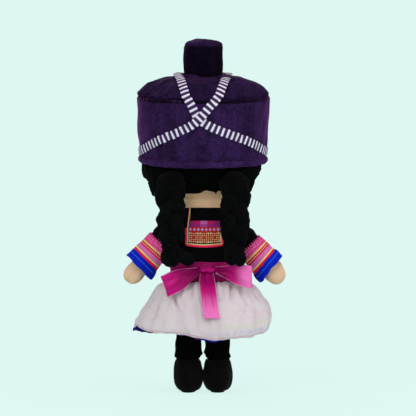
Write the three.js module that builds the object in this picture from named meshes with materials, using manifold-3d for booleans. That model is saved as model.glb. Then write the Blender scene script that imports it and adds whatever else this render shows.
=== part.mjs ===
// A plush doll in Hmong dress: a stuffed linen body, a tall velvet hat with crossed trims, two plaits,
// a black jacket with banded sleeves and a square back collar, a ribbon sash with a bow behind,
// a gathered skirt, leggings and soft shoes.
// Millimetres, +Z up. The doll faces -Y and its left is +X. The origin is on the floor, under the middle
// of the outline.
import * as THREE from "three";
import { mergeVertices } from "three/addons/utils/BufferGeometryUtils.js";
import Module from "manifold-3d";

const wasm = await Module();
wasm.setup();

// Gaps and cloth thicknesses
const fit = 0.35; // between pieces that are sewn or laid on each other
const jointRoom = 0.6; // between a ball and the socket it turns in
const slack = 0.14; // how far a facet may leave the shape where small facets are merged
const jacketCloth = 1.2;
const trimCloth = 0.7;
const ribbonCloth = 0.8;
const skirtCloth = 1.3;

// Shoes, ankles and legs
const legSpacing = 14.6; // from the middle of the doll to the middle of a leg
const legBack = 6; // the legs stand behind the middle, under the doll's weight
const soleThickness = 1.6;
const soleHalfWidth = 9.5;
const soleHeel = 17.5;
const soleToe = 27;
const shoeHalfWidth = 14;
const shoeHeel = 20;
const shoeToe = 31.5;
const shoeTop = 31.3;
const ankleHeight = 33;
const ankleRadius = 10.6;
const leggingRadius = 12.8;
const leggingBottom = 34.8;
const leggingTop = 72;
const hipHeight = 90;
const hipRadius = 12.6;

// Torso and neck
const torsoBottom = 97;
const torsoTop = 181.5;
const torsoHalfWidth = 30.8;
const torsoHalfDepth = 22.2;
const chestHalfWidth = 28;
const neckRadius = 18.3;
const neckBallRadius = 19.5;
const nodHeight = 193;

// Arms and sleeves
const shoulderOut = 34;
const shoulderHeight = 160;
const shoulderRadius = 12.6;
const sleeveLength = 47.5;
const sleeveTopRadius = 13.9;
const sleeveEndRadius = 16.8;
const sleeveCloth = 1.1;
const bandStart = 13.8; // along the arm, from the shoulder
const cuffStart = 37.6;
const pinkingDepth = 1.7;
const pinkingTeeth = 18;
const armRadius = 9.6;
const handRadius = 11.2;
const handReach = 19.5; // from the cuff's end to the fingertips
// Degrees from straight down: how far each arm hangs out, and the way its cuff's end faces
const armSides = { left: { hang: 39.5, cuff: 45 }, right: { hang: 41.5, cuff: 50 } };

// Head, hair and plaits
const headCentre = new THREE.Vector3(0, -3, 236);
const headHalfWidth = 55;
const headHalfDepth = 47;
const headHalfHeight = 42.6;
const hairDepth = 4.6;
const eyeOut = 17;
const eyeHeight = 217;
const eyeHalfWidth = 2.6;
const eyeHalfHeight = 3.8;
const mouthHeight = 207;
const mouthThickness = 1.3;
const smileRadius = 7.3;
const smileSpread = 108; // degrees
const plaitOut = 31.5;
const plaitBack = 42;
const plaitRootHeight = 207;
const plaitRootRadius = 12.4;
const plaitLength = 60.5; // from the root to the tie
const plaitTieBack = 43;
const plaitHalfSpread = 7.6;
const plaitHalfWeave = 5.4;
const strandHalfWidth = 6.6;
const strandHalfDepth = 6.2;
const plaitTurns = 0.86;
const plaitGather = 0.55; // spread of the strands at the tie, as a share of the plait's
const plaitPinch = 0.66; // size of the strands at the tie
const tailLength = 20.5;

// Hat, in a frame of its own: its origin is at the middle of the brim and it leans back
const hatLean = 8; // degrees
const hatCentre = new THREE.Vector3(0, -2, 229);
const hatRadius = 65.6;
const hatDepthShare = 0.9; // front to back, as a share of the width
const hatHeight = 66.5;
const hatWall = 2.6;
const crownRise = 20.5;
const brimHalfHeight = 3.2;
const brimHalfWidth = 2.7;
const knobRadius = 19.3;
const knobHeight = 30;
const knobRise = 7;
const trimHalfWidth = 4;

// Back collar, measured from the middle of the back
const collarRight = -20.5;
const collarLeft = 17.5;
const collarBottom = 144;
const collarPanelHeight = 22.5;
const collarPanelMargin = 3.8;
const collarBinding = 2;

// Sash, bow and skirt
const sashBottom = 110.4;
const sashWidth = 19;
const bowKnotOut = -4.6;
const bowKnotHalfWidth = 7.8;
const bowKnotHalfHeight = 3.2;
const bowKnotHeight = 122.2;
const bowLoopRoot = 1; // from the knot's side to the loop's inner fold
const bowLoopLength = 36.5;
const bowLoopGap = 5;
const bowSwing = { left: 28, right: 21 }; // degrees out from the back
const bowDroop = { left: 24, right: 15 }; // degrees below level
const tailHalfWidth = 7.8;
const tailBottom = 73;
const skirtHem = 59.5;
const skirtHalfWidth = 67;
const skirtHalfDepth = 52;
const skirtPleats = 9;
const hemDrop = 1.8; // of the coloured underskirt below the white one

const round = (turns) => turns * 2 * Math.PI;
const radians = (degrees) => (degrees * Math.PI) / 180;
const xAxis = new THREE.Vector3(1, 0, 0);
const yAxis = new THREE.Vector3(0, 1, 0);

// A closed geometry as a solid. Corners that meet are merged, and a surface that faces in is turned round.
function solidOf(geometry) {
  const bare = geometry.index ? geometry.toNonIndexed() : geometry.clone();
  bare.deleteAttribute("normal");
  bare.deleteAttribute("uv");
  const merged = mergeVertices(bare, 1e-3);
  const corners = merged.index.array;
  const facing = (order) => {
    const triVerts = [];
    for (let i = 0; i < corners.length; i += 3) {
      const triangle = order.map((k) => corners[i + k]);
      if (new Set(triangle).size === 3) triVerts.push(...triangle);
    }
    return new wasm.Manifold(
      new wasm.Mesh({
        numProp: 3,
        vertProperties: merged.attributes.position.array,
        triVerts: new Uint32Array(triVerts),
      }),
    );
  };
  const made = facing([0, 1, 2]);
  return made.volume() < 0 ? facing([0, 2, 1]) : made;
}

function geometryOf(solid) {
  const mesh = solid.getMesh();
  const geometry = new THREE.BufferGeometry();
  geometry.setAttribute("position", new THREE.BufferAttribute(mesh.vertProperties, 3));
  geometry.setIndex(new THREE.BufferAttribute(mesh.triVerts, 1));
  const faceted = geometry.toNonIndexed();
  faceted.computeVertexNormals();
  return faceted;
}

// The points of one oval ring round a centre, in the plane of two directions. squareness 2 is an ellipse.
function oval(centre, across, deep, halfWidth, halfDepth, sides, squareness = 2) {
  return Array.from({ length: sides }, (_, i) => {
    const turn = round(i / sides);
    const [c, s] = [Math.cos(turn), Math.sin(turn)];
    const power = 2 / squareness;
    return centre
      .clone()
      .addScaledVector(across, halfWidth * Math.sign(c) * Math.abs(c) ** power)
      .addScaledVector(deep, halfDepth * Math.sign(s) * Math.abs(s) ** power);
  });
}

// Rings joined into a surface: a fan closes each end, or with loop the last ring joins the first.
function joinRings(rings, loop = false) {
  const sides = rings[0].length;
  const points = rings.flat();
  const faces = [];
  const last = loop ? rings.length : rings.length - 1;
  for (let r = 0; r < last; r++) {
    for (let i = 0; i < sides; i++) {
      const [a, b] = [r * sides + i, r * sides + ((i + 1) % sides)];
      const next = ((r + 1) % rings.length) * sides - r * sides;
      faces.push(a, b, b + next, a, b + next, a + next);
    }
  }
  if (!loop) {
    [0, rings.length - 1].forEach((r) => {
      const middle = rings[r].reduce((sum, p) => sum.add(p), new THREE.Vector3()).divideScalar(sides);
      points.push(middle);
      for (let i = 0; i < sides; i++) {
        const [a, b] = [r * sides + i, r * sides + ((i + 1) % sides)];
        faces.push(points.length - 1, ...(r ? [a, b] : [b, a]));
      }
    });
  }
  return new THREE.BufferGeometry().setFromPoints(points).setIndex(faces);
}

// An upright stuffed form from rows of height, half width and half depth. extra grows it all round.
function stuffed(rows, { extra = 0, centre = new THREE.Vector3(), sides = 24, squareness = 2 } = {}) {
  const rings = rows.map(([z, halfWidth, halfDepth], i) => {
    const rise = i === 0 ? -extra : i === rows.length - 1 ? extra : 0;
    const at = centre.clone().add(new THREE.Vector3(0, 0, z + rise));
    return oval(at, xAxis, yAxis, halfWidth + extra, halfDepth + extra, sides, squareness);
  });
  return joinRings(rings);
}

function ball(radius, centre, sides = 16) {
  const height = Math.round(sides / 2);
  return new THREE.SphereGeometry(radius, sides, height).rotateX(Math.PI / 2).translate(...centre);
}

// A block between two corners
function block(low, high) {
  const size = high.clone().sub(low);
  const middle = low.clone().add(high).divideScalar(2);
  return new THREE.BoxGeometry(...size).translate(...middle);
}

const materials = {
  linen: new THREE.MeshStandardMaterial({ color: 0xd9b48c, roughness: 0.9 }),
  hair: new THREE.MeshStandardMaterial({ color: 0x0b0b0d, roughness: 0.95 }),
  velvet: new THREE.MeshStandardMaterial({ color: 0x2e1650, roughness: 0.85 }),
  trim: new THREE.MeshStandardMaterial({ color: 0xe9e2ee, roughness: 0.7 }),
  jacket: new THREE.MeshStandardMaterial({ color: 0x121013, roughness: 0.85 }),
  banding: new THREE.MeshStandardMaterial({ color: 0xd8317f, roughness: 0.75 }),
  cuff: new THREE.MeshStandardMaterial({ color: 0x0a2aa0, roughness: 0.75 }),
  embroidery: new THREE.MeshStandardMaterial({ color: 0xb3141c, roughness: 0.75 }),
  ribbon: new THREE.MeshStandardMaterial({ color: 0xb01d74, roughness: 0.4 }),
  cotton: new THREE.MeshStandardMaterial({ color: 0xe6dedf, roughness: 0.9 }),
  underskirt: new THREE.MeshStandardMaterial({ color: 0x1c1a94, roughness: 0.8 }),
  suede: new THREE.MeshStandardMaterial({ color: 0x0e0c0e, roughness: 0.95 }),
  thread: new THREE.MeshStandardMaterial({ color: 0x1a1214, roughness: 0.7 }),
};

const doll = new THREE.Group();

function piece(name, solid, material, parent = doll) {
  const mesh = new THREE.Mesh(geometryOf(solid.simplify(slack)), material);
  mesh.name = name;
  parent.add(mesh);
  return mesh;
}

// The largest separate body of a solid, without crumbs that a cut has left
const largest = (solid) => solid.decompose().sort((a, b) => b.volume() - a.volume())[0];

// Each of the two sides, with the sign of its X
function bothSides(build) {
  build("left", 1);
  build("right", -1);
}

// Torso, cut for the balls of the hips and shoulders
const torsoRows = [
  [torsoBottom, torsoHalfWidth * 0.66, torsoHalfDepth * 0.66],
  [torsoBottom + 3, torsoHalfWidth * 0.88, torsoHalfDepth * 0.88],
  [torsoBottom + 9, torsoHalfWidth, torsoHalfDepth],
  [shoulderHeight - 24, torsoHalfWidth * 0.99, torsoHalfDepth * 1.01],
  [shoulderHeight - 5, chestHalfWidth, torsoHalfDepth * 0.97],
  [shoulderHeight + 8, chestHalfWidth * 0.93, torsoHalfDepth * 0.93],
  [torsoTop - 3, neckRadius + 4.6, neckRadius + 1.9],
  [torsoTop, neckRadius + 2.6, neckRadius + 0.9],
];
const torsoForm = (extra) => solidOf(stuffed(torsoRows, { extra, sides: 22 }));
const hips = [1, -1].map((sign) => new THREE.Vector3(sign * legSpacing, legBack, hipHeight));
const shoulders = [1, -1].map((sign) => new THREE.Vector3(sign * shoulderOut, 0, shoulderHeight));
const cutBalls = (solid, centres, radius, sides) =>
  centres.reduce((left, centre) => left.subtract(solidOf(ball(radius, centre, sides))), solid);
const socketed = (solid) =>
  cutBalls(cutBalls(solid, hips, hipRadius + jointRoom, 20), shoulders, shoulderRadius + jointRoom, 20);
piece("torso", socketed(torsoForm(0)), materials.linen);

// Neck: a short column that ends in the ball on which the head nods
const neckColumnTop = nodHeight - Math.sqrt(neckBallRadius ** 2 - neckRadius ** 2);
const neckFoot = torsoTop + fit;
const neckBallSteps = 6;
const neckStart = Math.asin((neckColumnTop - nodHeight) / neckBallRadius);
const neckRows = [
  [neckFoot, neckRadius, neckRadius],
  ...Array.from({ length: neckBallSteps }, (_, i) => {
    const rise = neckStart + ((Math.PI / 2 - 0.25 - neckStart) * i) / (neckBallSteps - 1);
    const radius = neckBallRadius * Math.cos(rise);
    return [nodHeight + neckBallRadius * Math.sin(rise), radius, radius];
  }),
];
piece("neck", solidOf(stuffed(neckRows, { sides: 24 })), materials.linen);

// Head: an egg on its side, with a socket for the neck's ball
const headRows = (extra) =>
  [-0.985, -0.86, -0.6, -0.25, 0.12, 0.5, 0.8, 0.96].map((rise) => {
    const share = (1 - Math.abs(rise) ** 2.3) ** (1 / 2.3);
    const [halfWidth, halfDepth] = [headHalfWidth * share + extra, headHalfDepth * share + extra];
    return [rise * (headHalfHeight + extra), halfWidth, halfDepth];
  });
const headForm = (extra) => solidOf(stuffed(headRows(extra), { centre: headCentre, sides: 22 }));
const nodCentre = new THREE.Vector3(0, 0, nodHeight);
const neckRoom = solidOf(ball(neckBallRadius + jointRoom, nodCentre, 24)).add(
  solidOf(
    new THREE.CylinderGeometry(neckRadius + jointRoom, neckRadius + jointRoom, 12, 24)
      .rotateX(Math.PI / 2)
      .translate(0, 0, nodHeight - 8),
  ),
);
const head = headForm(0).subtract(neckRoom);
piece("head", head, materials.linen);

// Face: two eyes and a mouth of raised thread, and they lie on the front of the head
function onFace(outline, thickness) {
  const depth = headHalfDepth * 1.4;
  const prism = new THREE.ExtrudeGeometry(outline, { depth, bevelEnabled: false, curveSegments: 10 });
  prism.rotateX(Math.PI / 2).translate(0, headCentre.y, 0);
  return solidOf(prism).intersect(headForm(fit + thickness)).subtract(headForm(fit));
}
bothSides((side, sign) => {
  const eye = new THREE.Shape();
  eye.absellipse(sign * eyeOut, eyeHeight, eyeHalfWidth, eyeHalfHeight, 0, round(1));
  piece(`eye_${side}`, onFace(eye, trimCloth), materials.thread);
});
const smileEnds = [radians(270 - smileSpread / 2), radians(270 + smileSpread / 2)];
const mouth = new THREE.Shape();
mouth.absarc(0, mouthHeight + smileRadius, smileRadius, smileEnds[0], smileEnds[1], false);
mouth.absarc(0, mouthHeight + smileRadius, smileRadius - mouthThickness, smileEnds[1], smileEnds[0], true);
piece("mouth", onFace(mouth, trimCloth), materials.embroidery);

// Hat frame, and the head and hair as they lie in it
const hat = new THREE.Group();
hat.position.copy(hatCentre);
hat.rotation.x = -radians(hatLean);
hat.updateMatrix();
doll.add(hat);
const intoHat = hat.matrix.clone().invert();
const inHat = (geometry) => solidOf(geometry.clone().applyMatrix4(intoHat));

// Hair: a thick cap over the back and sides of the head, open over the face and the nape
const hairRows = [
  [headCentre.z - headHalfHeight - 2.5, headHalfWidth - 15, headHalfDepth - 25],
  [headCentre.z - headHalfHeight + 1.5, headHalfWidth - 6, headHalfDepth - 17],
  [headCentre.z - headHalfHeight + 10, headHalfWidth - 2.4, headHalfDepth - 7],
  [headCentre.z - headHalfHeight + 19, headHalfWidth + 1.5, headHalfDepth],
  [headCentre.z - headHalfHeight * 0.32, headHalfWidth + hairDepth * 0.9, headHalfDepth + hairDepth * 0.9],
  [headCentre.z, headHalfWidth + hairDepth, headHalfDepth + hairDepth],
  [headCentre.z + 16, headHalfWidth + hairDepth * 0.4, headHalfDepth + hairDepth * 0.4],
  [headCentre.z + headHalfHeight * 0.634, headHalfWidth * 0.873, headHalfDepth * 0.872],
];
const hairForm = (extra) =>
  stuffed(hairRows, { extra, centre: new THREE.Vector3(0, headCentre.y, 0), sides: 22, squareness: 2.04 });
const faceHalfWidth = 43;
const faceTop = 229;
const faceBottom = 176;
const faceOpening = new THREE.CylinderGeometry(faceHalfWidth, faceHalfWidth, headHalfDepth, 24)
  .scale(1, 1, (faceTop - faceBottom) / 2 / faceHalfWidth)
  .translate(0, headCentre.y - headHalfDepth / 2 - 12, (faceTop + faceBottom) / 2);
const napeHalfWidth = 25;
const napeTop = 199.5;
const napeOpening = block(
  new THREE.Vector3(-napeHalfWidth, -headHalfDepth, nodHeight - 20),
  new THREE.Vector3(napeHalfWidth, headHalfDepth * 2, napeTop),
);
const plaitRoots = [1, -1].map((sign) => new THREE.Vector3(sign * plaitOut, plaitBack, plaitRootHeight));
const hairWhole = solidOf(hairForm(0))
  .subtract(headForm(fit))
  .subtract(solidOf(faceOpening))
  .subtract(solidOf(napeOpening))
  .subtract(neckRoom);
const hair = cutBalls(hairWhole, plaitRoots, plaitRootRadius + jointRoom, 20);
piece("hair", largest(hair), materials.hair);

// Plaits: a round root, three strands woven over each other, a tie, and three loose puffed ends
const plaitSteps = 14;
const tailSteps = 5;
const tieHeight = plaitRootHeight - plaitLength;
const tieTurn = round(plaitTurns);
const tailOffsets = [
  [2.4, 3.6],
  [-14, 2.4],
  [-4, -6.4],
];
function strandRings(sign, strand, extra = 0) {
  const phase = round(strand / 3);
  const centreAt = (t) => {
    // t runs from 0 at the root to 1 at the tie, and on to 2 at the end of the loose tail
    const woven = Math.min(t, 1);
    const loose = Math.max(t - 1, 0);
    const turn = tieTurn * woven + phase + 0.4;
    const rootGather = 0.55 + 0.45 * THREE.MathUtils.smoothstep(woven, 0, 0.2);
    const tieGather = THREE.MathUtils.lerp(1, plaitGather, THREE.MathUtils.smoothstep(woven, 0.8, 1));
    const gather = rootGather * tieGather;
    const middle = new THREE.Vector3(
      sign * plaitOut,
      THREE.MathUtils.lerp(plaitBack, plaitTieBack, woven),
      THREE.MathUtils.lerp(plaitRootHeight, tieHeight, woven) - tailLength * loose,
    );
    const woveX = plaitHalfSpread * gather * Math.sin(turn);
    const woveY = plaitHalfWeave * gather * Math.sin(2 * turn);
    const spread = THREE.MathUtils.smoothstep(loose, 0, 0.85);
    middle.x += sign * THREE.MathUtils.lerp(woveX, tailOffsets[strand][0], spread);
    middle.y += THREE.MathUtils.lerp(woveY, tailOffsets[strand][1], spread);
    return middle;
  };
  const stops = [
    ...Array.from({ length: plaitSteps }, (_, i) => i / plaitSteps),
    ...Array.from({ length: tailSteps + 1 }, (_, i) => 1 + i / tailSteps),
  ];
  return stops.map((t) => {
    const here = centreAt(t);
    if (t === stops.at(-1)) here.z -= extra;
    const along = centreAt(t + 0.01).sub(centreAt(t - 0.01));
    const [leanX, leanY] = [along.x / along.z, along.y / along.z].map((lean) => Math.hypot(1, lean));
    const loose = Math.max(t - 1, 0);
    const pinch = 1 - (1 - plaitPinch) * Math.exp(-(((t - 1) / 0.1) ** 2));
    const puff = 1 + 0.28 * Math.sin(Math.PI * THREE.MathUtils.clamp(loose, 0, 1));
    const tip = Math.sqrt(Math.max(1 - THREE.MathUtils.smoothstep(loose, 0.72, 1.02) * 0.96, 0.04));
    const start = 0.6 + 0.4 * THREE.MathUtils.smoothstep(t, 0.05, 0.24);
    const size = pinch * puff * tip * start;
    const roundness = THREE.MathUtils.smoothstep(loose, 0, 0.5);
    const halfDepth = THREE.MathUtils.lerp(strandHalfDepth, strandHalfWidth, roundness);
    const [across, deep] = [strandHalfWidth * size * leanX, halfDepth * size * leanY];
    return oval(here, xAxis, yAxis, across + extra * leanX, deep + extra * leanY, 8);
  });
}
// Tie of each plait: a narrow oval band of thread that draws the strands in. room grows it all round.
const tieHalfHeight = 1.9;
const tieCloth = 1;
const tieSwell = 0.35;
function tieSolid(sign, room = 0) {
  const ring = (z, extra) => {
    const centre = new THREE.Vector3(sign * plaitOut, plaitTieBack, z);
    const across = plaitHalfSpread * plaitGather + strandHalfWidth * plaitPinch + extra;
    const deep = plaitHalfWeave * plaitGather + strandHalfDepth * plaitPinch + extra;
    return oval(centre, xAxis, yAxis, across, deep, 16, 2.3);
  };
  const half = tieHalfHeight + room;
  const outer = [-1, 0, 1].map((share) =>
    ring(tieHeight + half * share, tieCloth + room + (share ? 0 : tieSwell)),
  );
  const inner = [1, -1].map((share) => ring(tieHeight + half * share, -room));
  return solidOf(joinRings([...outer, ...inner], true));
}

bothSides((side, sign) => {
  const root = new THREE.Vector3(sign * plaitOut, plaitBack, plaitRootHeight);
  piece(`plait_root_${side}`, solidOf(ball(plaitRootRadius, root, 16)), materials.hair);
  const rootRoom = solidOf(ball(plaitRootRadius + fit, root, 20));
  let taken = rootRoom.add(tieSolid(sign, fit));
  [0, 1, 2].forEach((strand) => {
    const whole = solidOf(joinRings(strandRings(sign, strand)));
    piece(`plait_strand_${side}_${strand + 1}`, largest(whole.subtract(taken)), materials.hair);
    taken = taken.add(solidOf(joinRings(strandRings(sign, strand, fit))));
  });
  piece(`plait_tie_${side}`, tieSolid(sign), materials.thread);
});

// Hat: the wall rises from the brim to the seam, then the crown puffs up and dips round the knob
// Rings of the hat's outline; extra moves each of them out along the outline's own normal.
function hatRings(rows, extra = 0, sides = 30) {
  return rows.map(([z, share], i) => {
    const [below, above] = [rows[Math.max(i - 1, 0)], rows[Math.min(i + 1, rows.length - 1)]];
    const normal = new THREE.Vector2(above[0] - below[0], (below[1] - above[1]) * hatRadius).normalize();
    const rise = i === 0 ? -extra : extra * normal.y;
    const [across, deep] = [hatRadius * share, hatRadius * share * hatDepthShare];
    const out = extra * Math.max(normal.x, 0);
    return oval(new THREE.Vector3(0, 0, z + rise), xAxis, yAxis, across + out, deep + out, sides);
  });
}
const brimTop = 2 * brimHalfHeight;
const wallRows = [
  [brimTop + fit, 0.975],
  [hatHeight * 0.3, 0.995],
  [hatHeight * 0.65, 1.01],
  [hatHeight * 0.88, 1.008],
  [hatHeight, 0.99],
];
const crownRows = [
  [hatHeight + fit, 0.985],
  [hatHeight + 0.18 * crownRise, 0.975],
  [hatHeight + 0.45 * crownRise, 0.89],
  [hatHeight + 0.7 * crownRise, 0.78],
  [hatHeight + 0.9 * crownRise, 0.63],
  [hatHeight + crownRise, 0.47],
  [hatHeight + 0.97 * crownRise, 0.32],
];
const hairInHat = inHat(hairForm(fit));
const insideOverrun = 5; // of the cutting form past both rims
const hatInside = wallRows.map(([z, share], i) => {
  const overrun = i === 0 ? -insideOverrun : i === wallRows.length - 1 ? insideOverrun : 0;
  return [z + overrun, share - hatWall / hatRadius];
});
const hatWallSolid = solidOf(joinRings(hatRings(wallRows)))
  .subtract(solidOf(joinRings(hatRings(hatInside))))
  .subtract(hairInHat);
piece("hat_side", largest(hatWallSolid), materials.velvet, hat);
piece("hat_crown", solidOf(joinRings(hatRings(crownRows))), materials.velvet, hat);
const brimOut = hatRadius - brimHalfWidth + 0.9;
const brimSteps = 30;
const brimRings = Array.from({ length: brimSteps }, (_, i) => {
  const turn = round(i / brimSteps);
  const outward = new THREE.Vector3(Math.cos(turn), Math.sin(turn), 0);
  const [x, y] = [brimOut * outward.x, brimOut * hatDepthShare * outward.y];
  const centre = new THREE.Vector3(x, y, brimHalfHeight);
  return oval(centre, outward, new THREE.Vector3(0, 0, 1), brimHalfWidth, brimHalfHeight, 8);
});
piece("hat_brim", solidOf(joinRings(brimRings, true)), materials.velvet, hat);

// Knob on the hat: a stuffed tube with a puffed top panel
const knobFoot = hatHeight + crownRise * 0.97 + fit;
const knobRows = [
  [knobFoot, 0.92],
  [knobFoot + 0.12 * knobHeight, 0.955],
  [knobFoot + 0.5 * knobHeight, 0.985],
  [knobFoot + 0.85 * knobHeight, 1],
  [knobFoot + knobHeight, 0.95],
];
const knobTopRows = [
  [knobFoot + knobHeight + fit, 0.94],
  [knobFoot + knobHeight + 0.35 * knobRise, 0.9],
  [knobFoot + knobHeight + 0.75 * knobRise, 0.7],
  [knobFoot + knobHeight + knobRise, 0.35],
];
const knobRings = (rows) =>
  rows.map(([z, share]) => {
    const radius = knobRadius * share;
    return oval(new THREE.Vector3(0, 0, z), xAxis, yAxis, radius, radius, 28, 2.2);
  });
piece("knob_side", solidOf(joinRings(knobRings(knobRows))), materials.velvet, hat);
piece("knob_top", solidOf(joinRings(knobRings(knobTopRows))), materials.velvet, hat);

// Two trims of dashed tape. Each is a loop that hangs low on one side of the hat, crosses the other trim
// at the back and at the front, and passes beside the knob on the crown.
const trimLow = 10.5;
const trimPath = [
  [0, trimLow],
  [45, 25],
  [87, 48.2],
  [101.5, hatHeight],
];
const trimOnCrown = [
  [-25, 28, 0.96],
  [-31, 0, 0.99],
];
function trimCurve(sign) {
  const onWall = trimPath.map(([degrees, z]) => {
    const turn = radians(degrees);
    const [x, y] = [hatRadius * Math.cos(turn), hatRadius * hatDepthShare * Math.sin(turn)];
    return new THREE.Vector3(sign * x, y, z);
  });
  const onCrown = trimOnCrown.map(
    ([x, y, rise]) => new THREE.Vector3(sign * x, y, hatHeight + crownRise * rise),
  );
  const back = [...onWall, ...onCrown];
  const front = back.slice(1, -1).map((p) => new THREE.Vector3(p.x, -p.y, p.z));
  return new THREE.CatmullRomCurve3([...back, ...front.reverse()], true, "centripetal");
}
// The nearest place on the hat's outline to a point, and the outline's normal there
const hatOutline = [...wallRows, ...crownRows.slice(1)].map(
  ([z, share]) => new THREE.Vector2(share * hatRadius, z),
);
function outlineNormal(i) {
  const above = hatOutline[Math.min(i + 1, hatOutline.length - 1)];
  const below = hatOutline[Math.max(i - 1, 0)];
  return new THREE.Vector2(above.y - below.y, below.x - above.x).normalize();
}
function hatFoot(point) {
  const from = new THREE.Vector2(Math.hypot(point.x, point.y / hatDepthShare), point.z);
  const feet = hatOutline.slice(1).map((end, i) => {
    const span = end.clone().sub(hatOutline[i]);
    const along = from.clone().sub(hatOutline[i]).dot(span) / span.lengthSq();
    const share = THREE.MathUtils.clamp(along, 0, 1);
    const at = hatOutline[i].clone().addScaledVector(span, share);
    return { at, share, i, away: at.distanceTo(from) };
  });
  const foot = feet.reduce((best, next) => (next.away < best.away ? next : best));
  const normal = outlineNormal(foot.i).lerp(outlineNormal(foot.i + 1), foot.share).normalize();
  const flat = new THREE.Vector3(point.x, point.y / hatDepthShare ** 2, 0).normalize();
  const scale = foot.at.x / from.x;
  return {
    at: new THREE.Vector3(point.x * scale, point.y * scale, foot.at.y),
    normal: flat.multiplyScalar(normal.x).add(new THREE.Vector3(0, 0, normal.y)),
  };
}

// A strip of tape along a curve on the hat. lift says how far it stands off at each place.
const trimSteps = 60;
const trimStandOff = 0.85;
function trimStrip(curve, lift) {
  const centre = (i) => hatFoot(curve.getPoint((i / trimSteps + 1) % 1));
  const rings = Array.from({ length: trimSteps }, (_, i) => {
    const { at, normal } = centre(i);
    const ahead = centre(i + 0.5).at.sub(centre(i - 0.5).at);
    const aside = new THREE.Vector3().crossVectors(normal, ahead).normalize();
    return [[-1, 0], [1, 0], [1, 1], [-1, 1]].map(([side, face]) => {
      const edge = hatFoot(at.clone().addScaledVector(aside, side * trimHalfWidth));
      return edge.at.addScaledVector(edge.normal, trimStandOff + lift(at) + face * trimCloth);
    });
  });
  return solidOf(joinRings(rings, true));
}
const [rightTrim, leftTrim] = [trimCurve(-1), trimCurve(1)];
const rightTrimPoints = rightTrim.getPoints(trimSteps * 2).map((point) => hatFoot(point).at);
const overOther = (at) => {
  const away = Math.min(...rightTrimPoints.map((point) => point.distanceTo(at)));
  const over = 1 - THREE.MathUtils.smoothstep(away, trimHalfWidth * 2.4, trimHalfWidth * 4);
  return over * (trimCloth + fit);
};
piece("hat_trim_right", trimStrip(rightTrim, () => 0), materials.trim, hat);
piece("hat_trim_left", trimStrip(leftTrim, overOther), materials.trim, hat);

// Jacket: cloth over the torso, with a pointed neck opening in front
const jacketInner = fit;
const jacketOuter = jacketInner + jacketCloth;
const jacketBottom = torsoBottom + 2;
const jacketNeck = torsoTop - 2.2;
const neckOpeningDepth = 27;
const neckOpeningHalfWidth = 11;
const wide = 90;
const slab = (bottom, top, back = -wide, left = -wide, right = wide) =>
  solidOf(block(new THREE.Vector3(left, back, bottom), new THREE.Vector3(right, wide, top)));
const neckOpening = new THREE.Shape([
  new THREE.Vector2(-neckOpeningHalfWidth, torsoTop + 4),
  new THREE.Vector2(0, torsoTop - neckOpeningDepth),
  new THREE.Vector2(neckOpeningHalfWidth, torsoTop + 4),
]);
const forward = (shape) =>
  solidOf(new THREE.ExtrudeGeometry(shape, { depth: wide, bevelEnabled: false }).rotateX(Math.PI / 2));
const holeRoom = 1.3; // of the cloth's holes round the shoulders and hips
const torsoShell = (inner, outer) =>
  cutBalls(
    cutBalls(torsoForm(outer).subtract(torsoForm(inner)), hips, hipRadius + holeRoom, 12),
    shoulders,
    shoulderRadius + holeRoom,
    12,
  );
const jacket = torsoShell(jacketInner, jacketOuter)
  .intersect(slab(jacketBottom, jacketNeck))
  .subtract(forward(neckOpening));
piece("jacket", largest(jacket), materials.jacket);

// Front bands of the jacket, from the neck down to the sash, and they meet in the middle
function laidOn(layer, cloth = trimCloth) {
  const inside = jacketOuter + fit + layer;
  return torsoShell(inside, inside + cloth);
}
const lapelWidth = 9;
bothSides((side, sign) => {
  const [x, low] = [sign * (neckOpeningHalfWidth - 1), sashBottom + sashWidth + fit];
  const outline = new THREE.Shape([
    new THREE.Vector2(x, torsoTop + 2),
    new THREE.Vector2((sign * fit) / 2, torsoTop - neckOpeningDepth),
    new THREE.Vector2((sign * fit) / 2, low),
    new THREE.Vector2(sign * lapelWidth, low),
    new THREE.Vector2(sign * lapelWidth, torsoTop - neckOpeningDepth + 2),
    new THREE.Vector2(x + sign * lapelWidth, torsoTop + 2),
  ]);
  const lapel = laidOn(0).intersect(forward(outline)).intersect(slab(low, jacketNeck));
  piece(`lapel_${side}`, largest(lapel), materials.cuff);
});

// Square collar on the back: black cloth, an embroidered panel and a binding round three of its sides
const collarCloth = laidOn(0).intersect(slab(collarBottom, jacketNeck, 0, collarRight, collarLeft));
piece("collar_cloth", largest(collarCloth), materials.jacket);
const panelLayer = trimCloth + fit;
const panelBottom = collarBottom + collarBinding + fit;
const panelTop = panelBottom + collarPanelHeight;
const [panelRight, panelLeft] = [collarRight + collarPanelMargin, collarLeft - collarPanelMargin];
const panelSlab = (grow, bottom, top) => slab(bottom, top, 0, panelRight - grow, panelLeft + grow);
const panel = laidOn(panelLayer).intersect(panelSlab(0, panelBottom, panelTop));
piece("collar_panel", largest(panel), materials.embroidery);
const binding = laidOn(panelLayer)
  .intersect(panelSlab(collarBinding + fit, collarBottom, panelTop))
  .subtract(panelSlab(fit, panelBottom - fit, panelTop + 9));
piece("collar_binding", largest(binding), materials.banding);

// Sash of satin ribbon over the jacket
const sash = laidOn(0, ribbonCloth).intersect(slab(sashBottom, sashBottom + sashWidth));
piece("sash", largest(sash), materials.ribbon);

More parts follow.
